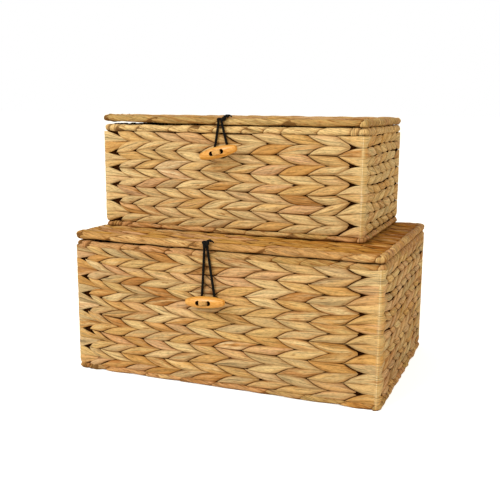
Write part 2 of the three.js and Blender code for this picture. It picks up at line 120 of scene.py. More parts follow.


# A basket's sizes and place come first, and then
# rows, bottom and top: its number of rows, and its lowest and highest seam
# front_tips: where the front's stitches start, from its middle; the last one goes round the corner
# tail: how long the tails are that end at a corner
# turn_lean: over what length the stitches round a corner cross the row
# side_rows: on its side walls, how far the rows lie from their seams, by how much a leaf's distances from
# the next leaf's edge and from its own middle are multiplied, which makes their painted shade weaker, and
# with how many leaves on either side it shares its tone
# rises: how far its rows rise towards its two front corners, at some heights
# lift: how far its lid's front left corner stands up
# toasted: how much browner its lid's leaves are painted towards the right, as shade
# lid_edge: its lid border's radius, how much wider it is sideways, and how far apart its side wraps are
# toggle, tilt: the toggle's middle on the front, across and up, and its turn there
# knot, knot_size: the elastic's front knot, across, and its size
# loop_tops: where the loop's two sides leave the knot, from the knot across and up
# ties: threads across the loop, each from one share of its height to another
large = basket(
    name="lower",
    width=400.0,
    depth=272.0,
    height=170.0,
    at=(0.0, 0.0, 0.0),
    rows=14,
    bottom=5.5,
    top=163.0,
    front_tips=[-182, -163, -134, -101, -68, -37, -2, 37, 77, 117, 159],
    tail=18.0,
    turn_lean=32.0,
    side_rows=(0.9, 1.5, 0.9, 1),
    rises={
        "left": ([5, 28, 51, 74, 119, 141, 163], [0, 2, 3.7, 5.8, 6, 6.5, 1]),
        "right": ([5, 28, 51, 84, 106, 129, 151, 163], [0, 2.5, 4.2, 5.7, 7, 6, 4, 1]),
    },
    lift=1.8,
    toasted=0.14,
    tones=WALL_TONES,
    rim_tones=DARK_BORDER_TONES,
    lid_edge_tones=BORDER_TONES,
    lid_edge=(RIM_HALF - 0.3, 1.0, 9.5),
    toggle=(-12.2, 110.0),
    tilt=np.radians(3.7),
    knot=-14.9,
    knot_size=1.3,
    loop_tops=((-2.2, -2.0), (2.2, -2.0)),
    ties=((0.5, 0.62), (0.66, 0.78)),
)
small = basket(
    name="upper",
    width=354.0,
    depth=208.0,
    height=136.0,
    at=(-16.4, 31.0, 180.387),
    rows=10,
    bottom=7.0,
    top=126.5,
    front_tips=[-155, -130, -100, -68, -33, 0, 34, 70, 107, 144],
    tail=17.0,
    turn_lean=37.0,
    side_rows=(0.9, 2.5, 0.75, 2),
    rises={
        "left": ([7, 31, 54, 79, 102, 126], [0.8, 4.3, 2.1, 0.7, -4.5, 0]),
        "right": ([7, 43, 67, 91, 115, 126], [0.3, 6, 2.9, 0.7, -1.4, 0]),
    },
    lift=2.9,
    toasted=0.0,
    tones=PALE_TONES,
    rim_tones=PALE_BORDER_TONES,
    lid_edge_tones=OLIVE_BORDER_TONES,
    lid_edge=(RIM_HALF - 0.6, 1.1, 14.0),
    toggle=(-6.4, 104.0),
    tilt=np.radians(14.0),
    knot=-2.2,
    knot_size=0.75,
    loop_tops=((-8.0, 1.5), (-2.8, 0.0)),
    ties=(),
)


# Meshes


def grid_faces(count, rows, columns, flip):
    """Quads of count grids of rows by columns points. They face along (step by row) x (step by column), or
    the other way where flip is true."""
    corner = np.arange(rows - 1)[:, None] * columns + np.arange(columns - 1)[None, :]
    quad = np.stack([corner, corner + columns, corner + columns + 1, corner + 1], -1).reshape(-1, 4)
    faces = np.arange(count)[:, None, None] * rows * columns + quad[None]
    flip = np.broadcast_to(flip, count)
    faces[flip] = faces[flip][..., ::-1]
    return faces.reshape(-1, 4)


class Patches:
    """Grids of points gathered for one piece, with each point's place on its leaf in millimetres, its leaf's
    own numbers (colour, seed, how far it is from where the next leaf covers it in steps of REACH_IN, and its
    place across from -1 to 1), and a material number."""

    def __init__(self):
        self.points, self.faces, self.places, self.leaves, self.kinds = [], [], [], [], []
        self.total = 0

    def add(self, points, flip=False, place=None, leaf=None, kind=0):
        """Adds grids, as an array of count by rows by columns by 3. Those where flip is true face the other
        way."""
        count, rows, columns = points.shape[:3]
        faces = grid_faces(count, rows, columns, flip) + self.total
        self.total += count * rows * columns
        self.points.append(points.reshape(-1, 3))
        self.faces.append(faces)
        flat = np.zeros(points.shape[:3] + (2,)) if place is None else place
        self.places.append(np.broadcast_to(flat, points.shape[:3] + (2,)).reshape(-1, 2))
        own = np.array([0.5, 0.5, 1.0, 0.0]) if leaf is None else leaf
        self.leaves.append(np.broadcast_to(own, points.shape[:3] + (4,)).reshape(-1, 4))
        self.kinds.append(np.full(len(faces), kind))

    def piece(self, name, body, slot, nodes, materials, bend=None):
        """The piece: one mesh with a UV map and a leaf attribute, riding on a body in place of the nodes.
        bend moves its points first."""
        points = np.concatenate(self.points)
        points = (bend(points) if bend else points) * MM
        faces = np.concatenate(self.faces)
        mesh = bpy.data.meshes.new(name)
        mesh.vertices.add(len(points))
        mesh.vertices.foreach_set("co", points.ravel())
        mesh.loops.add(faces.size)
        mesh.loops.foreach_set("vertex_index", faces.ravel())
        mesh.polygons.add(len(faces))
        mesh.polygons.foreach_set("loop_start", np.arange(len(faces)) * 4)
        mesh.polygons.foreach_set("material_index", np.concatenate(self.kinds))
        mesh.polygons.foreach_set("use_smooth", np.ones(len(faces), bool))
        for material in materials:
            mesh.materials.append(material)
        mesh.update(calc_edges=True)
        layer = mesh.uv_layers.new(name="Leaf")
        layer.uv.foreach_set("vector", np.concatenate(self.places)[faces.ravel()].ravel())
        own = mesh.attributes.new("leaf", "FLOAT_COLOR", "POINT")
        own.data.foreach_set("color", np.concatenate(self.leaves).ravel())
        return place_piece(mesh, name, body, nodes)


def place_piece(mesh, name, body, nodes):
    """A mesh as a piece of the scene, which rides on a body in place of the nodes."""
    piece = bpy.data.objects.new(name, mesh)
    bpy.context.scene.collection.objects.link(piece)
    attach(piece, body)
    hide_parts(*nodes)
    return piece


def leaf_numbers(count, tones, gap, across=0.0, alike=0):
    """Each leaf's place on the colour ramp, drawn about one of the tones, its seed, and its distances. Where
    alike is more than nought, that place is the mean over so many leaves on either side."""
    colour = np.clip(chance.choice(tones, count) + chance.normal(0, 0.03, count), 0.05, 1)
    if alike:
        colour = np.mean([np.roll(colour, shift) for shift in range(-alike, alike + 1)], axis=0)
    numbers = np.zeros(gap.shape + (4,))
    numbers[..., 0] = colour[:, None, None]
    numbers[..., 1] = chance.random(count)[:, None, None]
    numbers[..., 2] = gap
    numbers[..., 3] = across
    return numbers


# The weave. A wall is known by its quarter turns from the front: 0 front, 1 right, 2 back, 3 left.


def turned(b, quarters, x, y, z):
    """Quarter turns about Z, then the basket's own place."""
    c, s = [(1, 0), (0, 1), (-1, 0), (0, -1)][quarters % 4]
    return np.stack([c * x - s * y + b.at[0], s * x + c * y + b.at[1], z + b.at[2]], -1)


def outer_wall(b, quarters, along, out, z):
    """A place on a wall's outside: straight along it, then a quarter circle round the corner post, then on
    along the next wall. out counts outwards from the seams. The foot curves in as the square of how deep it
    is."""
    out = out - FOOT_IN * np.clip((b.bottom + FOOT_HEIGHT - z) / FOOT_HEIGHT, 0, 1) ** 2
    half = (b.depth if quarters % 2 else b.width) / 2 + PROUD - DOME
    away = (b.width if quarters % 2 else b.depth) / 2 + PROUD - DOME
    past = np.abs(along) - (half - POST_TURN)
    angle = np.clip(past, 0, QUARTER) / POST_TURN
    beyond = np.clip(past - QUARTER, 0, None)
    radius = POST_TURN + out
    x = np.sign(along) * (np.minimum(np.abs(along), half - POST_TURN) + radius * np.sin(angle))
    y = beyond - (away - POST_TURN) - radius * np.cos(angle)
    return turned(b, quarters, x, y, z)


def corner_at(b, quarters):
    """How far a wall's corner is from its middle, along the seams."""
    half = (b.depth if quarters % 2 else b.width) / 2 + PROUD - DOME
    return half - POST_TURN + QUARTER / 2


def stitch_grid(pitch, row, dome, steps=(18, 11), blunt=False, cut=False, turns=(LEAN, LEAN)):
    """One stitch as x along the row from its tip, y across the row from the tips' seam, and out.
    Its far edge crosses the row over the lean, as 1 - (1 - x)^steep, and both edges bow out. Along, the dome
    goes as u^0.4 (1 - u)^1.5, and the tail sinks under the next stitch. A blunt one's tip is round. A cut
    one's tail is short and pointed, and is painted dark, as shade, where the stitch round the corner covers
    it
    and towards its end: turns holds that tail's length and the corner stitch's lean."""
    own = lambda low, high: chance.uniform(low, high, len(dome))[:, None, None]
    every = lambda flags: np.broadcast_to(flags, len(dome))[:, None, None]
    far_bow, near_bow = BOW * own(0.3, 1.5), BOW * own(0.0, 2.0)
    steep = np.where(every(blunt), 5.0, own(1.9, 3.0))
    tail = np.where(every(cut), turns[0], LEAN)
    pitch, dome = pitch[:, None, None], dome[:, None, None]
    u = np.linspace(0, 1, steps[0])[None, :, None] ** 1.15
    v = np.linspace(-1, 1, steps[1])[None, None, :]
    reach = pitch + LEAN
    x = -START + (pitch + tail + 3) * u
    u = (x + START) / (reach + 6)
    open_far = 1 - (1 - np.clip((x + START) / (LEAN + START), 0, 1)) ** steep
    far = row * open_far + 0.3 + far_bow * np.sin(np.pi * np.clip((x - 8) / (reach - 4), 0, 1))
    near = row * 0.7 * np.clip((x - pitch + 6) / (tail + 10), 0, 1) ** 0.95
    pointed = row * np.clip((x - pitch - 1) / (tail - 2), 0, 1.05)
    near = np.where(every(cut), pointed, near)
    near = near - near_bow * np.sin(np.pi * np.clip((x - 0.5) / (pitch - 5), 0, 1)) ** 0.8
    y = (near + far) / 2 + v * (far - near) / 2
    rise = u**0.4 * (1 - u) ** 1.5 / 0.355
    sink = SINK * np.clip((x / reach - 0.4) / 0.7, 0, 1) ** 1.2
    sink = sink + np.where(every(cut), SINK * np.clip((x - pitch - tail + 9) / 9, 0, 1) ** 1.3, 0)
    # How far the point is from the next stitch's edge, which is the same curve one pitch on
    next_steep = np.where(every(cut), TURN_STEEP, np.roll(steep, -1, axis=0))
    next_lean = np.where(every(cut), turns[1], LEAN + START)
    edge = pitch - START + next_lean * (1 - (1 - np.clip(y / row, 0, 1)) ** (1 / next_steep))
    # The leaf that bows out more lies over its neighbour
    sink = sink - 0.35 * (near_bow / BOW - 1)
    # Painted shade: a cut tail also goes darker towards its end, where it sinks
    gap = np.where(every(cut), np.minimum(edge - x, 0.6 * (pitch + tail - x)), edge - x)
    return finish_leaf(x, y, v, dome * rise, sink, row, gap / REACH_IN, 2.6, 0.0)


def turn_grid(before, first, row, dome, lean, pressed, filled):
    """A stitch that goes round a corner: from its tip, before the corner, its far edge opens to the whole
    row. After the corner, the edge closes a little up to the next wall's first tip, and then goes on closing
    under that stitch. pressed is how far the post's ridge stands out, and filled how flat the leaf is
    there."""
    before, dome = before[:, None, None], dome[:, None, None]
    after = first + LEAN
    lead = np.array([-3, -1, 2, 5, 9, 14, 19])[None, :, None] * (before / 28)
    bend = np.array([-5, -3.6, -2.8, -2.4, -2, -1.6, -1.2, -0.4, 0.8, 2.4, 5])[None, :, None] + 0 * before
    trail = 5 + (after - 5) * np.array([0.1, 0.2, 0.32, 0.46, 0.62, 0.8, 1])[None, :, None] + 0 * before
    x = np.concatenate([lead - before, bend, trail], 1)
    v = np.linspace(-1, 1, 13)[None, None, :]
    opening = 1 - (1 - np.clip((x + before + 2) / lean, 0, 1)) ** TURN_STEEP
    closing = 1 - 0.42 * np.clip((x - 2.5) / (first - 2), 0, 1) - 0.3 * np.clip((x - first) / LEAN, 0, 1)
    far = (row + 0.3) * np.minimum(opening, closing)
    near = -0.4 * np.clip((x + before) / 6, 0, 1)
    y = near + (far - near) * (1 + v) / 2
    start = np.clip((x + before + 3) / 16, 0, 1) ** 0.4
    end = 1 - np.clip((x - 4) / after, 0, 1) ** 1.2
    flat = 1 - 0.1 * np.exp(-((x / 9) ** 2))
    sink = 2.4 * np.clip((x - first) / LEAN, 0, 1) ** 1.3
    near_post = np.exp(-((x / 12) ** 2))
    cover = first + LEAN * (1 - (1 - np.clip(1 - y / row, 0, 1)) ** (1 / 1.8))
    x, y, out, place, (gap, across) = finish_leaf(
        x, y, v, dome * start * end * flat, sink, row,
        (cover - x) / REACH_IN, 2.6 + 3 * near_post, filled * near_post,
    )
    # The post's wire presses a thin ridge into the leaf, and the leaf is painted pale there as a highlight
    ridge = np.exp(-(((x + 2) / 1.0) ** 2))
    out = out * (1 - 0.8 * ridge) + 0.8 * ridge * (dome + pressed)
    # Near the post the leaf's edges get less painted shade
    return x, y, out, place, (gap, across * (1 - 0.8 * near_post)), ridge


def finish_leaf(x, y, v, dome, sink, row, gap, cap, full):
    """Adds the cross-section (1 - |v|^cap)^0.6, with its edges filled up by the share full, folds, a twist
    and the place on the leaf."""
    count = len(dome)
    own = lambda spread: chance.normal(0, spread, count)[:, None, None]
    across = 1 - (1 - (1 - np.abs(v) ** cap) ** 0.6) * (1 - full)
    folds = 0.3 * np.cos(np.pi * (1.7 * v + own(0.6))) + 0.2 * np.cos(np.pi * (3.1 * v + own(1.0)) + x / 24)
    out = (dome + 1) * across - 1 - sink + folds * (1 - v**2) * dome / 3 + own(0.4) * v
    x, y, out, gap, across = np.broadcast_arrays(x, y, out, gap, v)
    place = np.stack([x, across * row / 2], -1)
    return x, y, out, place, (gap, across)


def wall_rows(b, tips_from):
    """For each row, its tips' seam height and whether the leaf goes up (1) or down (-1) from it."""
    step = (b.top - b.bottom) / b.rows
    row = np.arange(b.rows)
    down = (row + tips_from) % 2 == 0
    seam = b.top - step * np.where(down, row, row + 1)
    return step, seam, np.where(down, -1.0, 1.0)


def stray(b, quarters, along, z):
    """The seams wander by up to 1.1 mm between the corners, as sines along the wall and up it. They rise or
    fall over the last 60 mm before a front corner, as a squared cosine."""
    half = corner_at(b, quarters)
    fade = np.cos(np.clip(along / half, -1, 1) * np.pi / 2)
    moved = 1.1 * fade * np.sin(along / 37 + z / 23 + 2 * quarters)
    for corner, side in ((3, "left"), (0, "right")):
        if quarters in (corner, (corner + 1) % 4):
            away = np.abs(along - (half if quarters == corner else -half))
            near = np.cos(np.clip(away / 60, 0, 1) * np.pi / 2) ** 2
            moved = moved + near * np.interp(z, *b.rises[side])
    return moved


def wall_tips(b, quarters):
    """Where a wall's stitches start: as given on the front, and else evenly between the corner leaves."""
    if quarters == 0:
        return np.array(b.front_tips, float)
    half = corner_at(b, quarters)
    count = int(round((2 * half - 44) / STITCH)) + 1
    return np.linspace(-half + 13, half - 31, count)


def scattered(tips, seams, ways, spread):
    """Every row's stitches but the one at the last tip: each one's tip, moved a little, its seam, its way
    across the row and how far it is to the next tip."""
    tip = tips[:-1] + chance.normal(0, spread, (len(seams), len(tips) - 1))
    pitch = np.diff(tip, axis=1, append=np.full((len(seams), 1), tips[-1]))
    seam, way = (np.broadcast_to(numbers[:, None], tip.shape).ravel() for numbers in (seams, ways))
    return tip.ravel(), seam, way, pitch.ravel()


def wall_leaves(b, quarters):
    """A wall's own stitches on its outside and inside, and the leaf between them, painted dark as shade."""
    patches = Patches()
    is_side = quarters % 2 == 1
    tips = wall_tips(b, quarters)
    step, seams, ways = wall_rows(b, quarters % 2)
    # On the side walls the leaves start less evenly, and lie flatter
    spread, flatter = (4.2, 0.75) if is_side else (1.9, 1)
    tip, seam, way, pitch = scattered(tips, seams, ways, spread)
    dome = chance.uniform(2.1, 2.6, tip.size) * flatter
    column = np.arange(tip.size) % (len(tips) - 1)
    x, y, out, place, (gap, across) = stitch_grid(
        pitch, step, dome, (24, 13), column == 0, column == len(tips) - 2, (b.tail, b.turn_lean)
    )
    # On the side walls the painted shade near the next leaf and along the edges is weaker
    slack, painted_shade_factor, flat, alike = b.side_rows if is_side else (0.0, 1.0, 1.0, 0)
    y = slack + y * (1 - 2 * slack / step)
    along = x + tip[:, None, None]
    z = seam[:, None, None] + way[:, None, None] * y
    points = outer_wall(b, quarters, along, out, z + stray(b, quarters, along, z))
    leaf = leaf_numbers(len(tip), b.tones, painted_shade_factor * gap, flat * across, alike)
    patches.add(points, way < 0, place, leaf)

    # Inside, the same rows on a plane that faces into the basket
    reach = (b.wire_y if is_side else b.wire_x) - 3
    away = (b.wire_x if is_side else b.wire_y) - 1.4
    tip, seam, way, pitch = scattered(np.arange(-reach - 18, reach + 26, STITCH), seams, ways, 1.3)
    x, y, out, place, seam_gap = stitch_grid(pitch, step, chance.uniform(1.6, 2.1, tip.size), (9, 6))
    along = np.clip(x + tip[:, None, None], -reach, reach)
    z = seam[:, None, None] + way[:, None, None] * y
    points = turned(b, quarters, along, out * 0.9 - away, z)
    patches.add(points, way > 0, place, leaf_numbers(len(tip), b.tones, *seam_gap))

    away = b.wire_x if is_side else b.wire_y
    core_box(patches, b, quarters, corner_at(b, quarters) - 3, 1.75, away, b.bottom - 1, b.top + 1)
    side = ["front", "right", "back", "left"][quarters]
    return patches.piece(
        f"{b.name}_{side}_leaves", f"{b.name}_basket", "leaf_weave",
        [f"{b.name}_{side}_weave"], [leaf_dry, leaf_shade],
    )


def core_box(patches, b, quarters, half_x, half_y, away, bottom, top):
    """A closed box of shaded leaf, between the two faces of a wall or a panel. Its middle lies this far away
    from the basket's."""
    corners = np.array([[-1, -1], [1, -1], [1, 1], [-1, 1], [-1, -1]]) * [half_x, half_y]
    x, y = corners[:, 0], corners[:, 1] - away
    sides = np.stack([turned(b, quarters, x, y, np.full(5, z)) for z in (bottom, top)])
    patches.add(sides[None].transpose(0, 2, 1, 3), kind=1)
    for z, flip in ((bottom, True), (top, False)):
        ends = turned(b, quarters, x[[0, 1, 3, 2]], y[[0, 1, 3, 2]], np.full(4, z)).reshape(2, 2, 3)
        patches.add(ends[None].transpose(0, 2, 1, 3), flip, kind=1)


def corner_leaves(b, quarters):
    """The stitches that go from this wall's right end round the post to the next wall. On the two front
    corners they stand out more, and the post's wire shows through them."""
    patches = Patches()
    in_front = quarters in (0, 3)
    step, seams, ways = wall_rows(b, quarters % 2)
    half = corner_at(b, quarters)
    before = half - wall_tips(b, quarters)[-1] + chance.normal(0, 1.2, len(seams))
    dome = chance.uniform(1.8, 2.2, len(seams)) * (1 if in_front else 0.6)
    following = (quarters + 1) % 4
    first = corner_at(b, following) + wall_tips(b, following)[0]
    pressed = 1.5 if in_front else 0.4
    filled = 0.95 if quarters == 0 else 0.6
    x, y, out, place, seam_gap, ridge = turn_grid(before, first, step, dome, b.turn_lean, pressed, filled)
    slack = 0.0 if in_front else 0.4
    z = seams[:, None, None] + ways[:, None, None] * (slack + y * (1 - 2 * slack / step))
    along = x + half
    points = outer_wall(b, quarters, along, out, z + stray(b, quarters, along, z))
    leaf = leaf_numbers(len(seams), b.tones, *seam_gap)
    # Painted highlight: the leaf's colour goes to the ramp's palest stop along the post's ridge
    leaf[..., 0] *= 1 - ridge * pressed / 1.5
    patches.add(points, ways < 0, place, leaf)

    # Shaded leaf wound round the post under them, as a cylinder
    radius = 3.4
    angle = np.linspace(0, 2 * np.pi, 13)
    heights = np.array([b.bottom - 1, b.top + 1])
    centre_x = half - QUARTER / 2 + POST_TURN - 4.3
    centre_y = -(b.wire_x if quarters % 2 else b.wire_y) + 1.8
    x = centre_x + radius * np.cos(angle)[:, None] + 0 * heights
    y = centre_y + radius * np.sin(angle)[:, None] + 0 * heights
    patches.add(turned(b, quarters, x, y, heights + 0 * x)[None], kind=1)
    corner = ["front_right", "back_right", "back_left", "front_left"][quarters]
    return patches.piece(
        f"{b.name}_{corner}_turns", f"{b.name}_basket", "leaf_weave",
        [f"{b.name}_{corner}_corner"], [leaf_dry, leaf_shade],
    )


def flat_leaves(patches, b, half_x, half_y, z, facing, dome, tones, toasted=0.0):
    """Herringbone rows on a level panel that faces up (1) or down (-1), an even number of them, so that the
    panel's two long edges look the same. The leaves' places on the colour ramp go up from left to right by
    four times the last argument, slowly at first: painted shade that makes them browner towards the right."""
    rows = 2 * int(round((b.wire_y - 3.5) / PANEL_ROW))
    step = 2 * half_y / rows
    row = np.arange(rows)
    ways = np.where(row % 2 == 0, 1.0, -1.0)
    seams = -half_y + step * np.where(ways > 0, row, row + 1)
    tip, seam, way, pitch = scattered(np.arange(-half_x - 20, half_x + 28, STITCH), seams, ways, 3.0)
    domes = chance.uniform(0.8, 1.1, tip.size) * dome
    x, y, out, place, seam_gap = stitch_grid(pitch, step, domes, (14, 9))
    along = np.clip(x + tip[:, None, None], -half_x, half_x)
    across = seam[:, None, None] + way[:, None, None] * y
    across = across + 0.8 * np.sin(along / 41 + across / 29)
    points = turned(b, 0, along, np.clip(across, -half_y, half_y), z + facing * out * 0.8)
    leaf = leaf_numbers(len(tip), tones, *seam_gap)
    # Painted shade: the leaves get browner towards the right
    leaf[..., 0] = np.clip(leaf[..., 0] + toasted * (1 + along / half_x) ** 2, 0, 1)
    patches.add(points, way * facing < 0, place, leaf)


def lifted(b):
    """The lid's front left corner stands up and out a little: its points rise as the power 1.5 of how near
    it they are, and go left as the square."""
    reach_right, reach_back, left = 190, 170, 2.2

    def bend(points):
        near_x = np.clip(1 - (points[:, 0] - b.at[0] + b.width / 2) / reach_right, 0, 1)
        near_y = np.clip(1 - (points[:, 1] - b.at[1] + b.depth / 2) / reach_back, 0, 1)
        risen = points.copy()
        risen[:, 2] += b.lift * (near_x * near_y) ** 1.5
        risen[:, 0] -= left * (near_x * near_y) ** 2
        return risen

    return bend


def resting(b):
    """What the basket stands on presses the leaf under it flat."""
    return lambda points: np.maximum(points, [-np.inf, -np.inf, b.at[2] + 0.05])


def floor_leaves(b):
    """The floor: leaf that faces up, leaf that faces down, and the shaded leaf between them."""
    patches = Patches()
    half_x, half_y = b.wire_x - 4, b.wire_y - 4
    flat_leaves(patches, b, half_x, half_y, z=5.6, facing=1, dome=1.6, tones=b.tones)
    flat_leaves(patches, b, half_x, half_y, z=1.4, facing=-1, dome=1.4, tones=b.tones)
    core_box(patches, b, 0, half_x, half_y, away=0.0, bottom=1.9, top=5.1)
    return patches.piece(
        f"{b.name}_floor_leaves", f"{b.name}_basket", "leaf_weave",
        [f"{b.name}_floor_weave"], [leaf_dry, leaf_shade], resting(b),
    )


def lid_leaves(b):
    """The lid's panel, like the floor. The leaf on top has higher domes and reaches a little further out."""
    patches = Patches()
    half_x, half_y = b.wire_x - 3, b.wire_y - 3
    over = 1.5
    flat_leaves(
        patches, b, half_x + over, half_y + over,
        z=b.lid_z + 2.9, facing=1, dome=3.0, tones=LID_TONES, toasted=b.toasted,
    )
    flat_leaves(patches, b, half_x, half_y, z=b.lid_z - 2.2, facing=-1, dome=1.7, tones=LID_TONES)
    core_box(patches, b, 0, half_x, half_y, away=0.0, bottom=b.lid_z - 1.75, top=b.lid_z + 2.4)
    return patches.piece(
        f"{b.name}_lid_leaves", f"{b.name}_lid", "leaf_weave",
        [f"{b.name}_lid_weave"], [leaf_on_lid, leaf_shade], lifted(b),
    )


# Borders


def edge_straights(b):
    """The edge wires' four straights: front, right, back and left."""
    return np.array([b.width, b.depth, b.width, b.depth]) - 2 * (RIM_HALF + EDGE_TURN)


def edge_line(b, along):
    """Place and outward direction on the edge wires' line: four straights, each with a quarter turn after
    it."""
    straights = edge_straights(b)
    starts = np.concatenate([[0], np.cumsum(straights + EDGE_TURN * np.pi / 2)])
    along = along % starts[-1]
    side = np.clip(np.searchsorted(starts, along, side="right") - 1, 0, 3)
    run = np.minimum(along - starts[side], straights[side])
    turn = (along - starts[side] - run) / EDGE_TURN
    x = run - straights[side] / 2 + EDGE_TURN * np.sin(turn)
    y = -straights[(side + 1) % 4] / 2 - EDGE_TURN * np.cos(turn)
    cos, sin = np.cos(side * np.pi / 2), np.sin(side * np.pi / 2)
    place = np.stack([cos * x - sin * y, sin * x + cos * y], -1)
    out = np.stack([cos * np.sin(turn) + sin * np.cos(turn), sin * np.sin(turn) - cos * np.cos(turn)], -1)
    return place, out


def edge_length(b):
    """Once round the edge wires' line."""
    return 2 * (b.width + b.depth) - 8 * (RIM_HALF + EDGE_TURN) + 2 * np.pi * EDGE_TURN


def edge_tube(b, z, along, angle, radius, wide=1.0):
    """Points round the edge line: radius from it, at an angle from outwards towards up, and wide times as
    far sideways."""
    place, out = edge_line(b, along)
    x = place[..., 0] + out[..., 0] * wide * radius * np.cos(angle) + b.at[0]
    y = place[..., 1] + out[..., 1] * wide * radius * np.cos(angle) + b.at[1]
    return np.stack([x, y, z + radius * np.sin(angle) + b.at[2]], -1)


def wrap_starts(b, front, side, extra=()):
    """Where the lengths of leaf on an edge start: about every front mm on the front and back, and every side
    mm on the two sides and round the corners, with more of them where extra says."""
    straights = edge_straights(b)
    arc = EDGE_TURN * np.pi / 2
    begins = np.concatenate([[0], np.cumsum(straights + arc)[:3]]) - [0, arc, 0, arc]
    lengths = straights + [0, 2 * arc, 0, 2 * arc]
    starts = []
    for begin, length, mean in zip(begins, lengths, (front, side, front, side)):
        count = int(round(length / mean))
        close = mean < 20
        jitter = chance.uniform(-0.3, 0.3, count) * (0.4 if close else 1)
        even = np.arange(count) / (count - 1) if close else (np.arange(count) + 0.5) / count
        starts.append(begin + (even + jitter / count) * length)
    return np.sort(np.concatenate(starts + [np.array(extra)]))


def wound_border(b, z, radius, starts, slant, tones, under, wide):
    """Leaf wound round an edge wire: overlapping lengths, each starting proud with a slanted edge and ending
    under the next. On short lengths the fibres run round, and on long ones nearly along, with a slow twist.
    The leaf is painted darker, as shade, near the next length and where the sine of the way round is less
    than under."""
    total = edge_length(b)
    ends = np.append(starts[1:], starts[0] + total)
    short = (ends - starts < SHORT_WRAP)[:, None, None]
    starts, ends = starts[:, None, None], ends[:, None, None]
    number = len(starts)
    u = np.concatenate([[0, 0.01, 0.05], np.linspace(0.1, 1, 13)])[None, :, None]
    v = np.linspace(-np.pi, np.pi, 21)[None, None, :]
    lean = chance.normal(0, 1, number)[:, None, None]
    tilt = np.where(short, 0.5 * slant + 0.15 * lean, slant * (2 + np.clip(lean, -1, 1)))
    next_tilt = np.roll(tilt, -1, axis=0)
    phase = chance.uniform(0, 6, number)[:, None, None]
    reach = np.maximum(np.where(short, 0.6 * (ends - starts), 3.2 * slant), next_tilt)
    length = ends - starts + reach + 2
    along = starts + length * u + tilt * np.sin(v - 0.8) * (1 - 0.6 * u)
    long_rise = np.interp(u, [0, 0.01, 0.05, 0.5, 1], [-0.7, -0.2, 0.15, 0.1, -0.4])
    short_rise = np.interp(u, [0, 0.01, 0.05, 0.4, 0.7, 1], [-1.0, -0.3, 0.4, 0.7, 0.0, -0.9])
    twist = along / 18
    lumps = 0.35 * np.cos(2 * v + phase + 2 * twist) + 0.2 * np.sin(along / 11 + phase)
    lumps = lumps + 0.2 * np.cos(5 * v - phase + 3 * twist)
    points = edge_tube(b, z, along, v, radius + np.where(short, short_rise, long_rise) + lumps, wide)
    run, round_it = np.broadcast_arrays(along, v * radius)
    place = np.stack([np.where(short, round_it, run), np.where(short, run, round_it + 0.22 * run)], -1)
    covered = ends + next_tilt * np.sin(v - 0.8)
    # Painted shade near where the next length covers this one
    gap = np.where(short, 1.2, 1.8) * (covered - along) / REACH_IN
    # Painted shadow on the border's lower side
    gap = gap * np.clip((np.sin(v) - under) / 0.5, 0, 1)
    return points, place, leaf_numbers(number, tones, gap, 0.0, 1)


def border_piece(b, name, body, z, radius, starts, slant, tones, bend=None, under=-2.0, wide=1.0):
    """A border: the wound leaf, and the shaded strand under it as a plain tube."""
    patches = Patches()
    points, place, leaf = wound_border(b, z, radius, starts, slant, tones, under, wide)
    patches.add(points, False, place, leaf)
    along = np.linspace(0, edge_length(b), 241)[None, :, None]
    angle = np.linspace(0, 2 * np.pi, 13)[None, None, :]
    patches.add(edge_tube(b, z, along, angle, radius - 0.9 + 0 * along), kind=1)
    return patches.piece(
        f"{b.name}_{name}_leaf", body, "leaf_border", [f"{b.name}_{name}"], [strand_dry, leaf_shade], bend
    )


def borders(b):
    """The rim's, the base's and the lid's border. The base's and the lid's are in their own shade below."""
    body, lid = f"{b.name}_basket", f"{b.name}_lid"
    starts = wrap_starts(b, front=34.0, side=10.0)
    border_piece(b, "rim_border", body, b.rim_z, RIM_HALF - 0.3, starts, slant=3.0, tones=b.rim_tones)
    starts = wrap_starts(b, front=58.0, side=13.0, extra=(3.0, 8.0, 12.0, 16.0))
    border_piece(
        b, "base_border", body, BASE_HALF, BASE_HALF - 0.2, starts,
        slant=2.5, tones=BASE_TONES, bend=resting(b), under=-0.5, wide=1.45,
    )
    radius, wide, apart = b.lid_edge
    starts = wrap_starts(b, front=100.0, side=apart)
    border_piece(
        b, "lid_border", lid, b.lid_z, radius, starts,
        slant=5.0, tones=b.lid_edge_tones, bend=lifted(b), under=-0.9, wide=wide,
    )


# Ties and closures


def smooth_path(points, steps):
    """A smooth line through points, as uniform Catmull-Rom pieces. Its samples are shared out evenly over
    the pieces."""
    points = np.asarray(points, float)
    ends = np.vstack([2 * points[0] - points[1], points, 2 * points[-1] - points[-2]])
    t = np.linspace(0, len(points) - 1 - 1e-9, steps)
    k = t.astype(int)
    f = (t - k)[:, None]
    a, p, q, c = ends[k], ends[k + 1], ends[k + 2], ends[k + 3]
    return 0.5 * (2 * p + (q - a) * f + (2 * a - 5 * p + 4 * q - c) * f**2 + (3 * p - a - 3 * q + c) * f**3)


def tube(path, radius, sides=12, flat=1.0, side_way=(0, 0, 1)):
    """A round or flattened tube: a circle carried along a path, with blunt ends, drawn out by 0.3 radii. Its
    first direction stays as near side_way as the path allows."""
    step = np.gradient(path, axis=0)
    step /= np.linalg.norm(step, axis=1)[:, None]
    way = np.asarray(side_way, float)
    first = way - (step @ way)[:, None] * step
    first /= np.linalg.norm(first, axis=1)[:, None] + 1e-9
    second = np.cross(step, first)
    angle = np.linspace(0, 2 * np.pi, sides + 1)
    radius = np.broadcast_to(radius, len(path)).astype(float)
    ring = first[:, None] * np.cos(angle)[:, None] + flat * second[:, None] * np.sin(angle)[:, None]
    points = path[:, None] + radius[:, None, None] * ring
    end = lambda at, way, r: (at + way * 0.3 * r + 0 * points[0])[None]
    return np.concatenate(
        [end(path[0], -step[0], radius[0]), points, end(path[-1], step[-1], radius[-1])]
    )


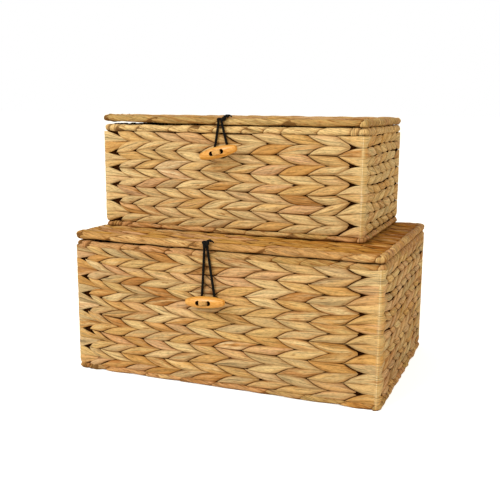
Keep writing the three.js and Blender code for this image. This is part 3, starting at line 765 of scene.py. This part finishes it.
def tie_band(b, place, x):
    """A flat band of leaf round the two back wires: half circles joined by straights, and crowned across."""
    from_wires = 4.25
    half_turn = np.linspace(0, np.pi, 13)
    angle = np.concatenate([half_turn, np.pi + half_turn, [2 * np.pi]])
    height = np.concatenate([np.full(13, b.lid_z), np.full(13, b.rim_z), [b.lid_z]])
    # The band's outline, across and outwards
    v = np.array([-1, -1, -0.6, -0.2, 0.2, 0.6, 1, 1, 0.5, -0.5, -1])
    proud = np.array([-0.5, 0.3, 0.75, 0.5, 0.55, 0.75, 0.3, -0.5, -0.55, -0.55, -0.5])
    reach = from_wires + proud[None, :] + 0 * angle[:, None]
    side = x + 3.9 * v[None, :] + 0.25 * np.sin(3 * angle)[:, None]
    y = b.wire_y + reach * np.cos(angle)[:, None]
    z = height[:, None] + reach * np.sin(angle)[:, None]
    patches = Patches()
    around = np.broadcast_to(np.linspace(0, 47, len(angle))[:, None], side.shape)
    spot = np.stack([around, np.broadcast_to(4 * v, side.shape)], -1)
    leaf = leaf_numbers(1, [0.34], np.ones((1,) + side.shape))
    patches.add(turned(b, 0, side, y, z)[None], True, spot[None], leaf)
    return patches.piece(
        f"{b.name}_{place}_tie_band", f"{b.name}_basket", "leaf_border",
        [f"{b.name}_{place}_lid_tie"], [strand_dry],
    )


def toggle_frame(b):
    """The toggle's middle and its turn about the line through the front wall, as a matrix."""
    x, z = b.toggle
    away = b.depth / 2 + TOGGLE_OFF + TOGGLE_MIDDLE
    at = Vector((x + b.at[0], b.at[1] - away, z + b.at[2]))
    return Matrix.Translation(at) @ Matrix.Rotation(-b.tilt, 4, "Y")


def carried(points, matrix):
    """The points, moved by the matrix."""
    turn = np.array(matrix)
    return points @ turn[:3, :3].T + turn[:3, 3]


def toggle_piece(b):
    """A turned spindle, with small rounded ends, bored twice. Its radius over its length goes from that of
    its ends to that of its middle as 1 - |t|^2.3."""
    t = np.concatenate([[-1, -1, -0.985], np.linspace(-0.95, 0.95, 39), [0.985, 1, 1]])
    radius = TOGGLE_END + (TOGGLE_MIDDLE - TOGGLE_END) * (1 - np.abs(t) ** 2.3)
    # Rounded at its two ends
    radius[[0, -1]] = 0.01
    radius[[1, -2]] = 2.7
    radius[[2, -3]] = 3.35
    angle = np.linspace(0, 2 * np.pi, 49)
    x = TOGGLE_HALF * t[:, None] + 0 * angle
    points = np.stack([x, radius[:, None] * np.cos(angle), radius[:, None] * np.sin(angle)], -1)
    spindle = closed_mesh("spindle", points, toggle_frame(b))
    piece = place_piece(
        spindle, f"{b.name}_toggle_wood", f"{b.name}_closure", [f"{b.name}_toggle"]
    )
    for side in (-1, 1):
        ring = HOLE * np.array([0.01, 1, 1, 0.01])[:, None]
        depth = np.array([-12, -12, 12, 12])[:, None] + 0 * angle
        hole = np.stack([side * HOLE_AT + ring * np.cos(angle), depth, ring * np.sin(angle)], -1)
        drill = closed_mesh("hole", hole, toggle_frame(b))
        # The holes' walls get the second material, painted dark as the shade inside them
        drill.polygons.foreach_set("material_index", np.ones(len(drill.polygons), int))
        cutter = bpy.data.objects.new("hole", drill)
        bpy.context.scene.collection.objects.link(cutter)
        bore = piece.modifiers.new("bore", "BOOLEAN")
        bore.object = cutter
        bore.operation = "DIFFERENCE"
        apply_modifiers(piece)
        bpy.data.objects.remove(cutter)
    return piece


def apply_modifiers(piece):
    """The piece's mesh as its modifiers make it."""
    bpy.context.view_layer.update()
    made = bpy.data.meshes.new_from_object(piece.evaluated_get(bpy.context.evaluated_depsgraph_get()))
    piece.modifiers.clear()
    piece.data = made


def closed_mesh(name, points, matrix):
    """A grid that closes on itself round its second direction, its doubles merged, moved by the matrix. Its
    first material is the toggle's wood and its second the same wood painted dark as shade, for its holes."""
    mesh = bpy.data.meshes.new(name)
    rows, columns = points.shape[:2]
    faces = grid_faces(1, rows, columns, True)
    mesh.from_pydata((carried(points.reshape(-1, 3), matrix) * MM).tolist(), [], faces.tolist())
    work = bmesh.new()
    work.from_mesh(mesh)
    bmesh.ops.remove_doubles(work, verts=work.verts, dist=2e-5)
    bmesh.ops.recalc_face_normals(work, faces=work.faces)
    work.to_mesh(mesh)
    work.free()
    mesh.polygons.foreach_set("use_smooth", np.ones(len(mesh.polygons), bool))
    for material in (turned_wood, bore_shade_wood):
        mesh.materials.append(material)
    return mesh


def strand_piece(b):
    """A flat strip of leaf over the toggle from hole to hole, closed behind it, its neck through the wall,
    and a knot inside: two turns of a circle that waves three times."""
    front, back = -TOGGLE_MIDDLE - 0.9, STRAND_BACK
    half_staple = [
        [0.8, back, 0], [2.9, back - 0.7, 0], [4.4, back - 2.2, 0], [5.2, back - 4.5, 0], [5.2, 0, 0],
        [4.7, front + 2.0, 0], [3.4, front + 0.3, 0],
    ]
    other_half = [[-x, y, z] for x, y, z in half_staple]
    path = smooth_path(other_half + [[0, front, 0]] + half_staple[::-1], 70)
    width = 2.5 + 0.8 * np.clip((-5 - path[:, 1]) / 3, 0, 1)
    neck = smooth_path([[0, back - 2, 0], [0, back + 4, 0], [0, back + 13, 0]], 12)
    turn = np.linspace(0, 4 * np.pi, 60)
    knot = np.stack([3.1 * np.cos(turn), STRAND_KNOT + 1.3 * np.sin(turn * 1.5), 3.1 * np.sin(turn)], -1)
    patches = Patches()
    for points in (tube(path, width, 12, 0.3), tube(neck, 2.0), tube(knot, 1.5, 10, 0.9, (0, 1, 0))):
        count, sides = points.shape[:2]
        spot = np.stack(np.meshgrid(np.arange(count) * 1.2, np.linspace(-3, 3, sides), indexing="ij"), -1)
        # Painted shade: the strand is dark from where it goes into the toggle's holes and all the way behind
        leaf = leaf_numbers(1, [0.24], np.clip((-5.5 - points[None, ..., 1]) / 2, 0, 1))
        patches.add(carried(points, toggle_frame(b))[None], False, spot[None], leaf)
    return patches.piece(
        f"{b.name}_strand_leaf", f"{b.name}_closure", "strand", [f"{b.name}_toggle_strand"], [strand_pale]
    )


def knot_place(b):
    """The front knot's middle: on the lid border's outside, 35 degrees up from level."""
    reach = RIM_HALF / np.cos(np.pi / 8) + KNOT_OFF + KNOT
    rise = np.radians(35)
    return np.array([b.knot, -b.wire_y - reach * np.cos(rise), b.lid_z + reach * np.sin(rise)])


def cord_patches(patches, b, path, radius):
    """A length of cord along a path, with its place as the length run and the way round in millimetres."""
    points = tube(path, radius, 12, 1.0, (0.3, 1, 0.2))
    run = np.cumsum(np.linalg.norm(np.diff(path, axis=0), axis=1))
    run = np.concatenate([[0, 0], run, run[-1:]])
    spot = np.stack(np.broadcast_arrays(run[:, None], np.linspace(0, 7.5, 13)[None]), -1)
    patches.add((points + np.array(b.at))[None], False, spot[None])


def knot_piece(b):
    """The elastic's knotted end: a trefoil of cord, the cord over the border and down through the lid, a cut
    tail, and a small trefoil under the lid as its stopper."""
    x, y, z = knot_place(b)
    patches = Patches()
    t = np.linspace(0, 2 * np.pi, 72)
    trefoil = np.stack(
        [np.sin(t) + 1.6 * np.sin(2 * t), -1.1 * np.sin(3 * t), np.cos(t) - 1.6 * np.cos(2 * t)], -1
    )
    size = b.knot_size
    cord_patches(patches, b, trefoil * [0.9 * size, 0.9, size] + [x, y - 0.6, z - 1.5], CORD * size**1.2)
    top = b.lid_z + RIM_HALF + CORD
    back = -b.wire_y + RIM_HALF + KNOT_OFF + STOPPER + 1
    lid_underside = b.lid_z - 3.9
    under = lid_underside - KNOT_OFF - STOPPER
    over = smooth_path(
        [[x, y + 0.5, z + 1], [x + 0.2, -b.wire_y - 3, top - 0.2], [x, -b.wire_y + 2, top + 0.1],
         [x, back - 2.2, top - 1.0], [x, back, b.lid_z + 1], [x, back, under]], 40,
    )
    cord_patches(patches, b, over, CORD)
    tail = smooth_path(
        [[x, y, z + 1.2], [x + 3.2, y + 0.9, z + 2.6], [x + 7, y + 2.2, z + 2.2],
         [x + 9.5, y + 1.6, z + 0.4]], 16,
    )
    cord_patches(patches, b, tail, np.linspace(1.15, 0.8, 16))
    cord_patches(patches, b, trefoil * [0.5, 0.5, 0.55] + [x, back, under], 1.0)
    return patches.piece(
        f"{b.name}_knot_cord", f"{b.name}_lid", "elastic", [f"{b.name}_elastic_knot"], [braided_elastic]
    )


def loop_piece(b):
    """The elastic loop: down from the knot, behind the toggle, round under the strand's neck and up again,
    and the thin threads that tie its two sides together."""
    x, _, z = knot_place(b)
    middle, level = b.toggle
    y = -b.depth / 2 - 2.5
    out = HOLE_AT + 2.6
    side = HOLE_AT + 1.0
    top = z - 3.8
    down, up = b.loop_tops
    path = smooth_path(
        [[x - 1.3, y + 0.6, top + 1], [x + down[0], y - 0.4, top + down[1]], [x + down[0], y, top - 5],
         [middle - side, y, level + 9], [middle - out, y, level + 1], [middle - out + 3, y, level - 4.5],
         [middle, y, level - 6.4], [middle + out - 3, y, level - 4.5], [middle + out, y, level + 1],
         [middle + side, y, level + 9], [x + up[0], y, top - 5], [x + up[0], y - 0.4, top + up[1]],
         [x + 0.6, y + 0.6, top + 1]], 110,
    )
    patches = Patches()
    cord_patches(patches, b, path, CORD)
    ways = np.array([-1, 1])
    for shares in np.array(b.ties):
        across = (1 - shares) * (x + ways * 1.3) + shares * (middle + ways * side)
        ends = np.stack([across, [y - 0.4, y - 0.4], top + shares * (level - top)], -1)
        cord_patches(patches, b, smooth_path(ends, 8), 0.4)
    return patches.piece(
        f"{b.name}_loop_cord", f"{b.name}_loop", "elastic", [f"{b.name}_elastic_loop"], [braided_elastic]
    )


# Materials


def colour(text):
    """An sRGB hex colour as the linear numbers that a socket takes."""
    values = np.array([int(text[k : k + 2], 16) for k in (1, 3, 5)]) / 255
    linear = np.where(values <= 0.04045, values / 12.92, ((values + 0.055) / 1.055) ** 2.4)
    return (*linear.tolist(), 1.0)


def node(tree, kind, inputs=None, stops=None, **settings):
    """Adds a node: its settings, its inputs as numbers or links, and a ramp's stops."""
    made = tree.nodes.new("ShaderNode" + kind)
    for name, value in settings.items():
        setattr(made, name, value)
    for name, value in (inputs or {}).items():
        if isinstance(value, bpy.types.NodeSocket):
            tree.links.new(value, made.inputs[name])
        else:
            made.inputs[name].default_value = value
    if stops:
        elements = made.color_ramp.elements
        while len(elements) < len(stops):
            elements.new(0.5)
        for element, (place, value) in zip(elements, stops):
            element.position = place
            element.color = colour(value) if isinstance(value, str) else (value, value, value, 1)
    return made


def new_material(name):
    """A material with an empty tree of nodes."""
    material = bpy.data.materials.new(name)
    material.use_nodes = True
    tree = material.node_tree
    tree.nodes.clear()
    return material, tree


def leaf_material(name, tones, roughness, painted_shade_strength, creased):
    """Dried water hyacinth leaf, flattened and twined: matt with a faint sheen, each leaf of its own colour,
    with fibres along it every one to three millimetres, and brown where it was creased. It is painted darker,
    as shade, near where the next leaf covers it and along its edges, by the strength given, and the creases
    are where the noise is over creased."""
    material, tree = new_material(name)
    own = node(tree, "Attribute", attribute_name="leaf")
    parts = node(tree, "SeparateXYZ", {"Vector": own.outputs["Vector"]})
    pick, seed, gap = parts.outputs["X"], parts.outputs["Y"], parts.outputs["Z"]
    place = node(tree, "UVMap", uv_map="Leaf").outputs["UV"]
    shift = node(tree, "CombineXYZ", {"X": 0.0, "Y": 0.0, "Z": seed})
    apart = node(tree, "VectorMath", {0: shift.outputs["Vector"], 1: (0, 0, 60)}, operation="MULTIPLY")

    def fibres(length, width, detail):
        """Noise in streaks of about this length and width in millimetres, another on each leaf."""
        scaled = node(
            tree, "VectorMath",
            {0: place, 1: (1 / length, 1 / width, 1), 2: apart.outputs["Vector"]}, operation="MULTIPLY_ADD",
        )
        return node(
            tree, "TexNoise",
            {"Vector": scaled.outputs["Vector"], "Scale": 1.0, "Detail": detail, "Roughness": 0.6},
        ).outputs["Fac"]

    broad, fine = fibres(60, 2.6, 2.0), fibres(34, 1.2, 2.0)
    main = node(tree, "ValToRGB", {"Fac": pick}, stops=tones)
    other = node(tree, "ValToRGB", {"Fac": seed}, stops=tones)
    patch = node(tree, "ValToRGB", {"Fac": fibres(38, 4.2, 2.0)}, stops=[(0.44, 0.0), (0.62, 0.7)])
    leaf = node(
        tree, "Mix", {0: patch.outputs["Color"], 6: main.outputs["Color"], 7: other.outputs["Color"]},
        data_type="RGBA",
    )
    for noise, stops in (
        (broad, [(0.34, 0.78), (0.47, 0.98), (0.64, 1.07)]),
        (fine, [(0.33, 0.5), (0.44, 0.95), (0.62, 1.07)]),
        (fibres(5, 1.1, 2.0), [(0.32, 0.7), (0.5, 1.0), (0.7, 1.08)]),
    ):
        streaks = node(tree, "ValToRGB", {"Fac": noise}, stops=stops)
        leaf = node(
            tree, "Mix", {0: 1.0, 6: leaf.outputs[2], 7: streaks.outputs["Color"]},
            data_type="RGBA", blend_type="MULTIPLY",
        )
    crease = node(
        tree, "ValToRGB", {"Fac": fibres(14, 2.0, 3.0)}, stops=[(creased, 0.0), (creased + 0.1, 0.85)]
    )
    brown = node(
        tree, "Mix", {0: crease.outputs["Color"], 6: leaf.outputs[2], 7: colour("#94602e")}, data_type="RGBA"
    )
    # Painted shade near where the next leaf covers this one
    covered = node(
        tree, "ValToRGB", {"Fac": gap}, stops=[(0.02, 1.0), (0.1, 0.8), (0.28, 0.4), (0.9, 0.0)]
    )
    # Painted shade along the leaf's edges, as the shadow between neighbouring leaves
    middle = node(tree, "Math", {0: own.outputs["Alpha"]}, operation="ABSOLUTE")
    edges = node(
        tree, "ValToRGB", {"Fac": middle.outputs["Value"]}, stops=[(0.5, 0.0), (0.8, 0.4), (0.93, 1.0)]
    )
    painted_shade_factor = node(
        tree, "Math", {0: covered.outputs["Color"], 1: edges.outputs["Color"]}, operation="MAXIMUM"
    )
    # How strong the painted shade is
    painted_shade_factor = node(tree, "Math", {0: painted_shade_factor.outputs["Value"], 1: painted_shade_strength}, operation="MULTIPLY")
    # The painted shade's colours, brown to near black
    depth = node(
        tree, "ValToRGB", {"Fac": painted_shade_factor.outputs["Value"]}, stops=[(0.35, "#925508"), (1.0, "#341800")]
    )
    leaf_with_painted_shade = node(
        tree, "Mix", {0: painted_shade_factor.outputs["Value"], 6: brown.outputs[2], 7: depth.outputs["Color"]},
        data_type="RGBA",
    )
    height = node(tree, "Math", {0: broad, 1: fine}, operation="ADD")
    relief = node(tree, "Bump", {"Strength": 0.8, "Distance": 0.001, "Height": height.outputs["Value"]})
    shader = node(tree, "BsdfPrincipled", {
        "Base Color": leaf_with_painted_shade.outputs[2], "Roughness": roughness, "Specular IOR Level": 0.06,
        "Normal": relief.outputs["Normal"],
    })
    node(tree, "OutputMaterial", {"Surface": shader.outputs["BSDF"]})
    return material


def shade_material():
    """Leaf deep between the stitches: the same dried leaf, painted dark brown as the shade there."""
    material, tree = new_material("leaf_in_shade")
    place = node(tree, "TexCoord").outputs["Object"]
    grain = node(tree, "TexNoise", {"Vector": place, "Scale": 120.0, "Detail": 2.0})
    tone = node(tree, "ValToRGB", {"Fac": grain.outputs["Fac"]}, stops=[(0.3, "#190a02"), (0.7, "#341a08")])
    shader = node(tree, "BsdfPrincipled", {
        "Base Color": tone.outputs["Color"], "Roughness": 0.95, "Specular IOR Level": 0.0,
    })
    node(tree, "OutputMaterial", {"Surface": shader.outputs["BSDF"]})
    return material


def wood_material():
    """Turned light wood with a clear varnish: a soft shine over grain along the spindle, every one to two
    millimetres."""
    material, tree = new_material("turned_light_wood")
    place = node(tree, "TexCoord").outputs["Object"]
    along = node(tree, "Mapping", {"Vector": place, "Scale": (40, 700, 700)})
    grain = node(tree, "TexNoise", {"Vector": along.outputs["Vector"], "Scale": 1.0, "Detail": 3.0})
    tone = node(
        tree, "ValToRGB", {"Fac": grain.outputs["Fac"]},
        stops=[(0.3, "#cc842a"), (0.5, "#e4a242"), (0.7, "#f0b65c")],
    )
    relief = node(tree, "Bump", {"Strength": 0.15, "Distance": 0.0002, "Height": grain.outputs["Fac"]})
    shader = node(tree, "BsdfPrincipled", {
        "Base Color": tone.outputs["Color"], "Roughness": 0.38, "Coat Weight": 0.3, "Coat Roughness": 0.2,
        "Normal": relief.outputs["Normal"],
    })
    node(tree, "OutputMaterial", {"Surface": shader.outputs["BSDF"]})
    return material


def bore_shade_material():
    """The toggle's holes: the same wood where it was drilled, rough, and painted dark as the shade inside
    them.
    """
    material, tree = new_material("bore_shade_wood")
    place = node(tree, "TexCoord").outputs["Object"]
    rough = node(tree, "TexNoise", {"Vector": place, "Scale": 900.0, "Detail": 2.0})
    tone = node(tree, "ValToRGB", {"Fac": rough.outputs["Fac"]}, stops=[(0.3, "#1e0f05"), (0.7, "#3c210c")])
    shader = node(tree, "BsdfPrincipled", {
        "Base Color": tone.outputs["Color"], "Roughness": 0.9, "Specular IOR Level": 0.1,
    })
    node(tree, "OutputMaterial", {"Surface": shader.outputs["BSDF"]})
    return material


def elastic_material():
    """Black braided elastic cord: matt, with fine slanting bands about every half millimetre."""
    material, tree = new_material("braided_elastic")
    place = node(tree, "UVMap", uv_map="Leaf").outputs["UV"]
    waves = node(
        tree, "TexWave", {"Vector": place, "Scale": 1.1, "Distortion": 0.4}, bands_direction="DIAGONAL"
    )
    tone = node(tree, "ValToRGB", {"Fac": waves.outputs["Fac"]}, stops=[(0.2, "#080706"), (0.8, "#141210")])
    relief = node(tree, "Bump", {"Strength": 0.4, "Distance": 0.0003, "Height": waves.outputs["Fac"]})
    shader = node(tree, "BsdfPrincipled", {
        "Base Color": tone.outputs["Color"], "Roughness": 0.8, "Specular IOR Level": 0.12,
        "Normal": relief.outputs["Normal"],
    })
    node(tree, "OutputMaterial", {"Surface": shader.outputs["BSDF"]})
    return material


def wire_material():
    """Iron wire with a dark lacquer: a dull shine, slightly uneven."""
    material, tree = new_material("lacquered_wire")
    place = node(tree, "TexCoord").outputs["Object"]
    spots = node(tree, "TexNoise", {"Vector": place, "Scale": 300.0, "Detail": 2.0})
    tone = node(tree, "ValToRGB", {"Fac": spots.outputs["Fac"]}, stops=[(0.35, "#2c2926"), (0.7, "#45403a")])
    shader = node(tree, "BsdfPrincipled", {
        "Base Color": tone.outputs["Color"], "Roughness": 0.45, "Metallic": 0.6,
    })
    node(tree, "OutputMaterial", {"Surface": shader.outputs["BSDF"]})
    return material


# Each kind of leaf's colour ramp, from straw to brown
# Its palest stop, at nought, is reached only along the corner posts' ridges, as a painted highlight
LEAF_TONES = [
    (0.0, "#f2deb4"), (0.05, "#deba7c"), (0.2, "#e6cb98"), (0.36, "#daae6c"), (0.5, "#dcb084"),
    (0.66, "#ceb486"), (0.8, "#d0a05e"), (0.92, "#c28c52"), (1.0, "#a46a38"),
]
# The lid's leaf ramp; its browner end is reached towards the lower lid's right, as painted shade
LID_LEAF_TONES = [
    (0.0, "#e8c892"), (0.15, "#dcb67c"), (0.3, "#dcb088"), (0.45, "#d2a65e"), (0.6, "#cc9a4c"),
    (0.75, "#c08a40"), (0.9, "#ae7230"), (1.0, "#8a4c18"),
]
STRAND_TONES = [
    (0.0, "#e6c282"), (0.2, "#f0d096"), (0.4, "#d0a262"), (0.55, "#ce9e70"), (0.7, "#c2a46a"),
    (0.85, "#bd8a4a"), (1.0, "#a06c34"),
]
PALE_STRAND_TONES = [(0.0, "#dfae6c"), (1.0, "#d09a54")]

leaf_dry = leaf_material("hyacinth_leaf", LEAF_TONES, roughness=0.62, painted_shade_strength=1.0, creased=0.62)
leaf_on_lid = leaf_material("lid_hyacinth_leaf", LID_LEAF_TONES, roughness=0.66, painted_shade_strength=1.45, creased=0.54)
strand_dry = leaf_material("hyacinth_strand", STRAND_TONES, roughness=0.58, painted_shade_strength=0.8, creased=0.56)
strand_pale = leaf_material("pale_strand", PALE_STRAND_TONES, roughness=0.6, painted_shade_strength=1.0, creased=0.62)
leaf_shade = shade_material()
turned_wood = wood_material()
bore_shade_wood = bore_shade_material()
braided_elastic = elastic_material()
lacquered_wire = wire_material()


# Both baskets

for b in (large, small):
    for quarters in range(4):
        wall_leaves(b, quarters)
        corner_leaves(b, quarters)
    floor_leaves(b)
    lid_leaves(b)
    borders(b)
    for place, x in (("left", TIE_IN - b.width / 2), ("middle", 0.0), ("right", b.width / 2 - TIE_IN)):
        tie_band(b, place, x)
    toggle_piece(b)
    strand_piece(b)
    knot_piece(b)
    loop_piece(b)
    for name in ("frame", "lid_frame"):
        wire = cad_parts[f"{b.name}_{name}"]
        wire.data.materials.clear()
        wire.data.materials.append(lacquered_wire)


# Studio


def lights(scene):
    """Two soft square lamps, the key from the front left and a warm fill from the right. Each has its place
    and its side in metres, its watts and its tint."""
    for name, at, size, power, tint in (
        ("key", (-1.2, -2.1, 2.2), 1.6, 54.0, (1.0, 0.99, 0.97)),
        ("fill", (2.2, -1.6, 1.2), 1.6, 17.5, (1.0, 0.84, 0.56)),
    ):
        lamp = bpy.data.lights.new(name, "AREA")
        lamp.color = tint
        lamp.size = size
        lamp.energy = power
        holder = bpy.data.objects.new(name, lamp)
        aim = Vector((0, 0, 0.15)) - Vector(at)
        holder.matrix_world = Matrix.Translation(at) @ aim.to_track_quat("-Z", "Y").to_matrix().to_4x4()
        scene.collection.objects.link(holder)


def backdrop(scene):
    """A dim warm world that the camera and shiny things see as white."""
    world = bpy.data.worlds.new("studio")
    scene.world = world
    world.use_nodes = True
    tree = world.node_tree
    tree.nodes.clear()
    light = node(tree, "Background", {"Color": (1, 0.89, 0.66, 1), "Strength": 0.56})
    white = node(tree, "Background", {"Color": (1, 1, 1, 1), "Strength": 1.0})
    path = node(tree, "LightPath")
    seen = node(
        tree, "Math",
        {0: path.outputs["Is Camera Ray"], 1: path.outputs["Is Glossy Ray"]}, operation="MAXIMUM",
    )
    seen = node(
        tree, "Math", {0: seen.outputs[0], 1: path.outputs["Is Transmission Ray"]}, operation="MAXIMUM"
    )
    mixed = node(tree, "MixShader", {0: seen.outputs[0], 1: light.outputs[0], 2: white.outputs[0]})
    node(tree, "OutputWorld", {"Surface": mixed.outputs[0]})


def ground(scene):
    """A pale floor, 60 m wide, that the camera sees as white with the object's shadow on it."""
    material, tree = new_material("studio_floor")
    plain = node(tree, "BsdfDiffuse", {"Color": (0.9, 0.9, 0.9, 1)})
    glow = node(tree, "Emission", {"Color": (1, 1, 1, 1), "Strength": 0.72})
    path = node(tree, "LightPath")
    shown = node(tree, "MixShader", {0: path.outputs["Is Camera Ray"], 1: plain.outputs[0]})
    both = node(tree, "AddShader", {0: plain.outputs[0], 1: glow.outputs[0]})
    tree.links.new(both.outputs[0], shown.inputs[2])
    node(tree, "OutputMaterial", {"Surface": shown.outputs[0]})
    mesh = bpy.data.meshes.new("studio_floor")
    reach = 30.0
    mesh.from_pydata(
        [(-reach, -reach, 0), (reach, -reach, 0), (reach, reach, 0), (-reach, reach, 0)], [], [(0, 1, 2, 3)]
    )
    mesh.materials.append(material)
    floor = bpy.data.objects.new("studio_floor", mesh)
    scene.collection.objects.link(floor)


def camera(scene):
    """The camera at the photograph's place, in metres: turned left by yaw, tilted down by pitch and rolled
    by roll."""
    lens = bpy.data.cameras.new("camera")
    lens.lens = 55.56
    lens.sensor_width = 36.0
    holder = bpy.data.objects.new("camera", lens)
    yaw, pitch, roll = 0.3746, 0.1833, 0.0077
    ahead = Vector((-np.sin(yaw) * np.cos(pitch), np.cos(yaw) * np.cos(pitch), -np.sin(pitch)))
    right = Vector((np.cos(yaw), np.sin(yaw), 0))
    up = right.cross(ahead)
    right, up = np.cos(roll) * right + np.sin(roll) * up, np.cos(roll) * up - np.sin(roll) * right
    place = Matrix((right, up, -ahead)).transposed().to_4x4()
    place.translation = Vector((0.3647, -0.9604, 0.3397))
    holder.matrix_world = place
    scene.collection.objects.link(holder)
    scene.camera = holder


scene = bpy.context.scene
scene.view_settings.view_transform = "Standard"
backdrop(scene)
ground(scene)
lights(scene)
camera(scene)
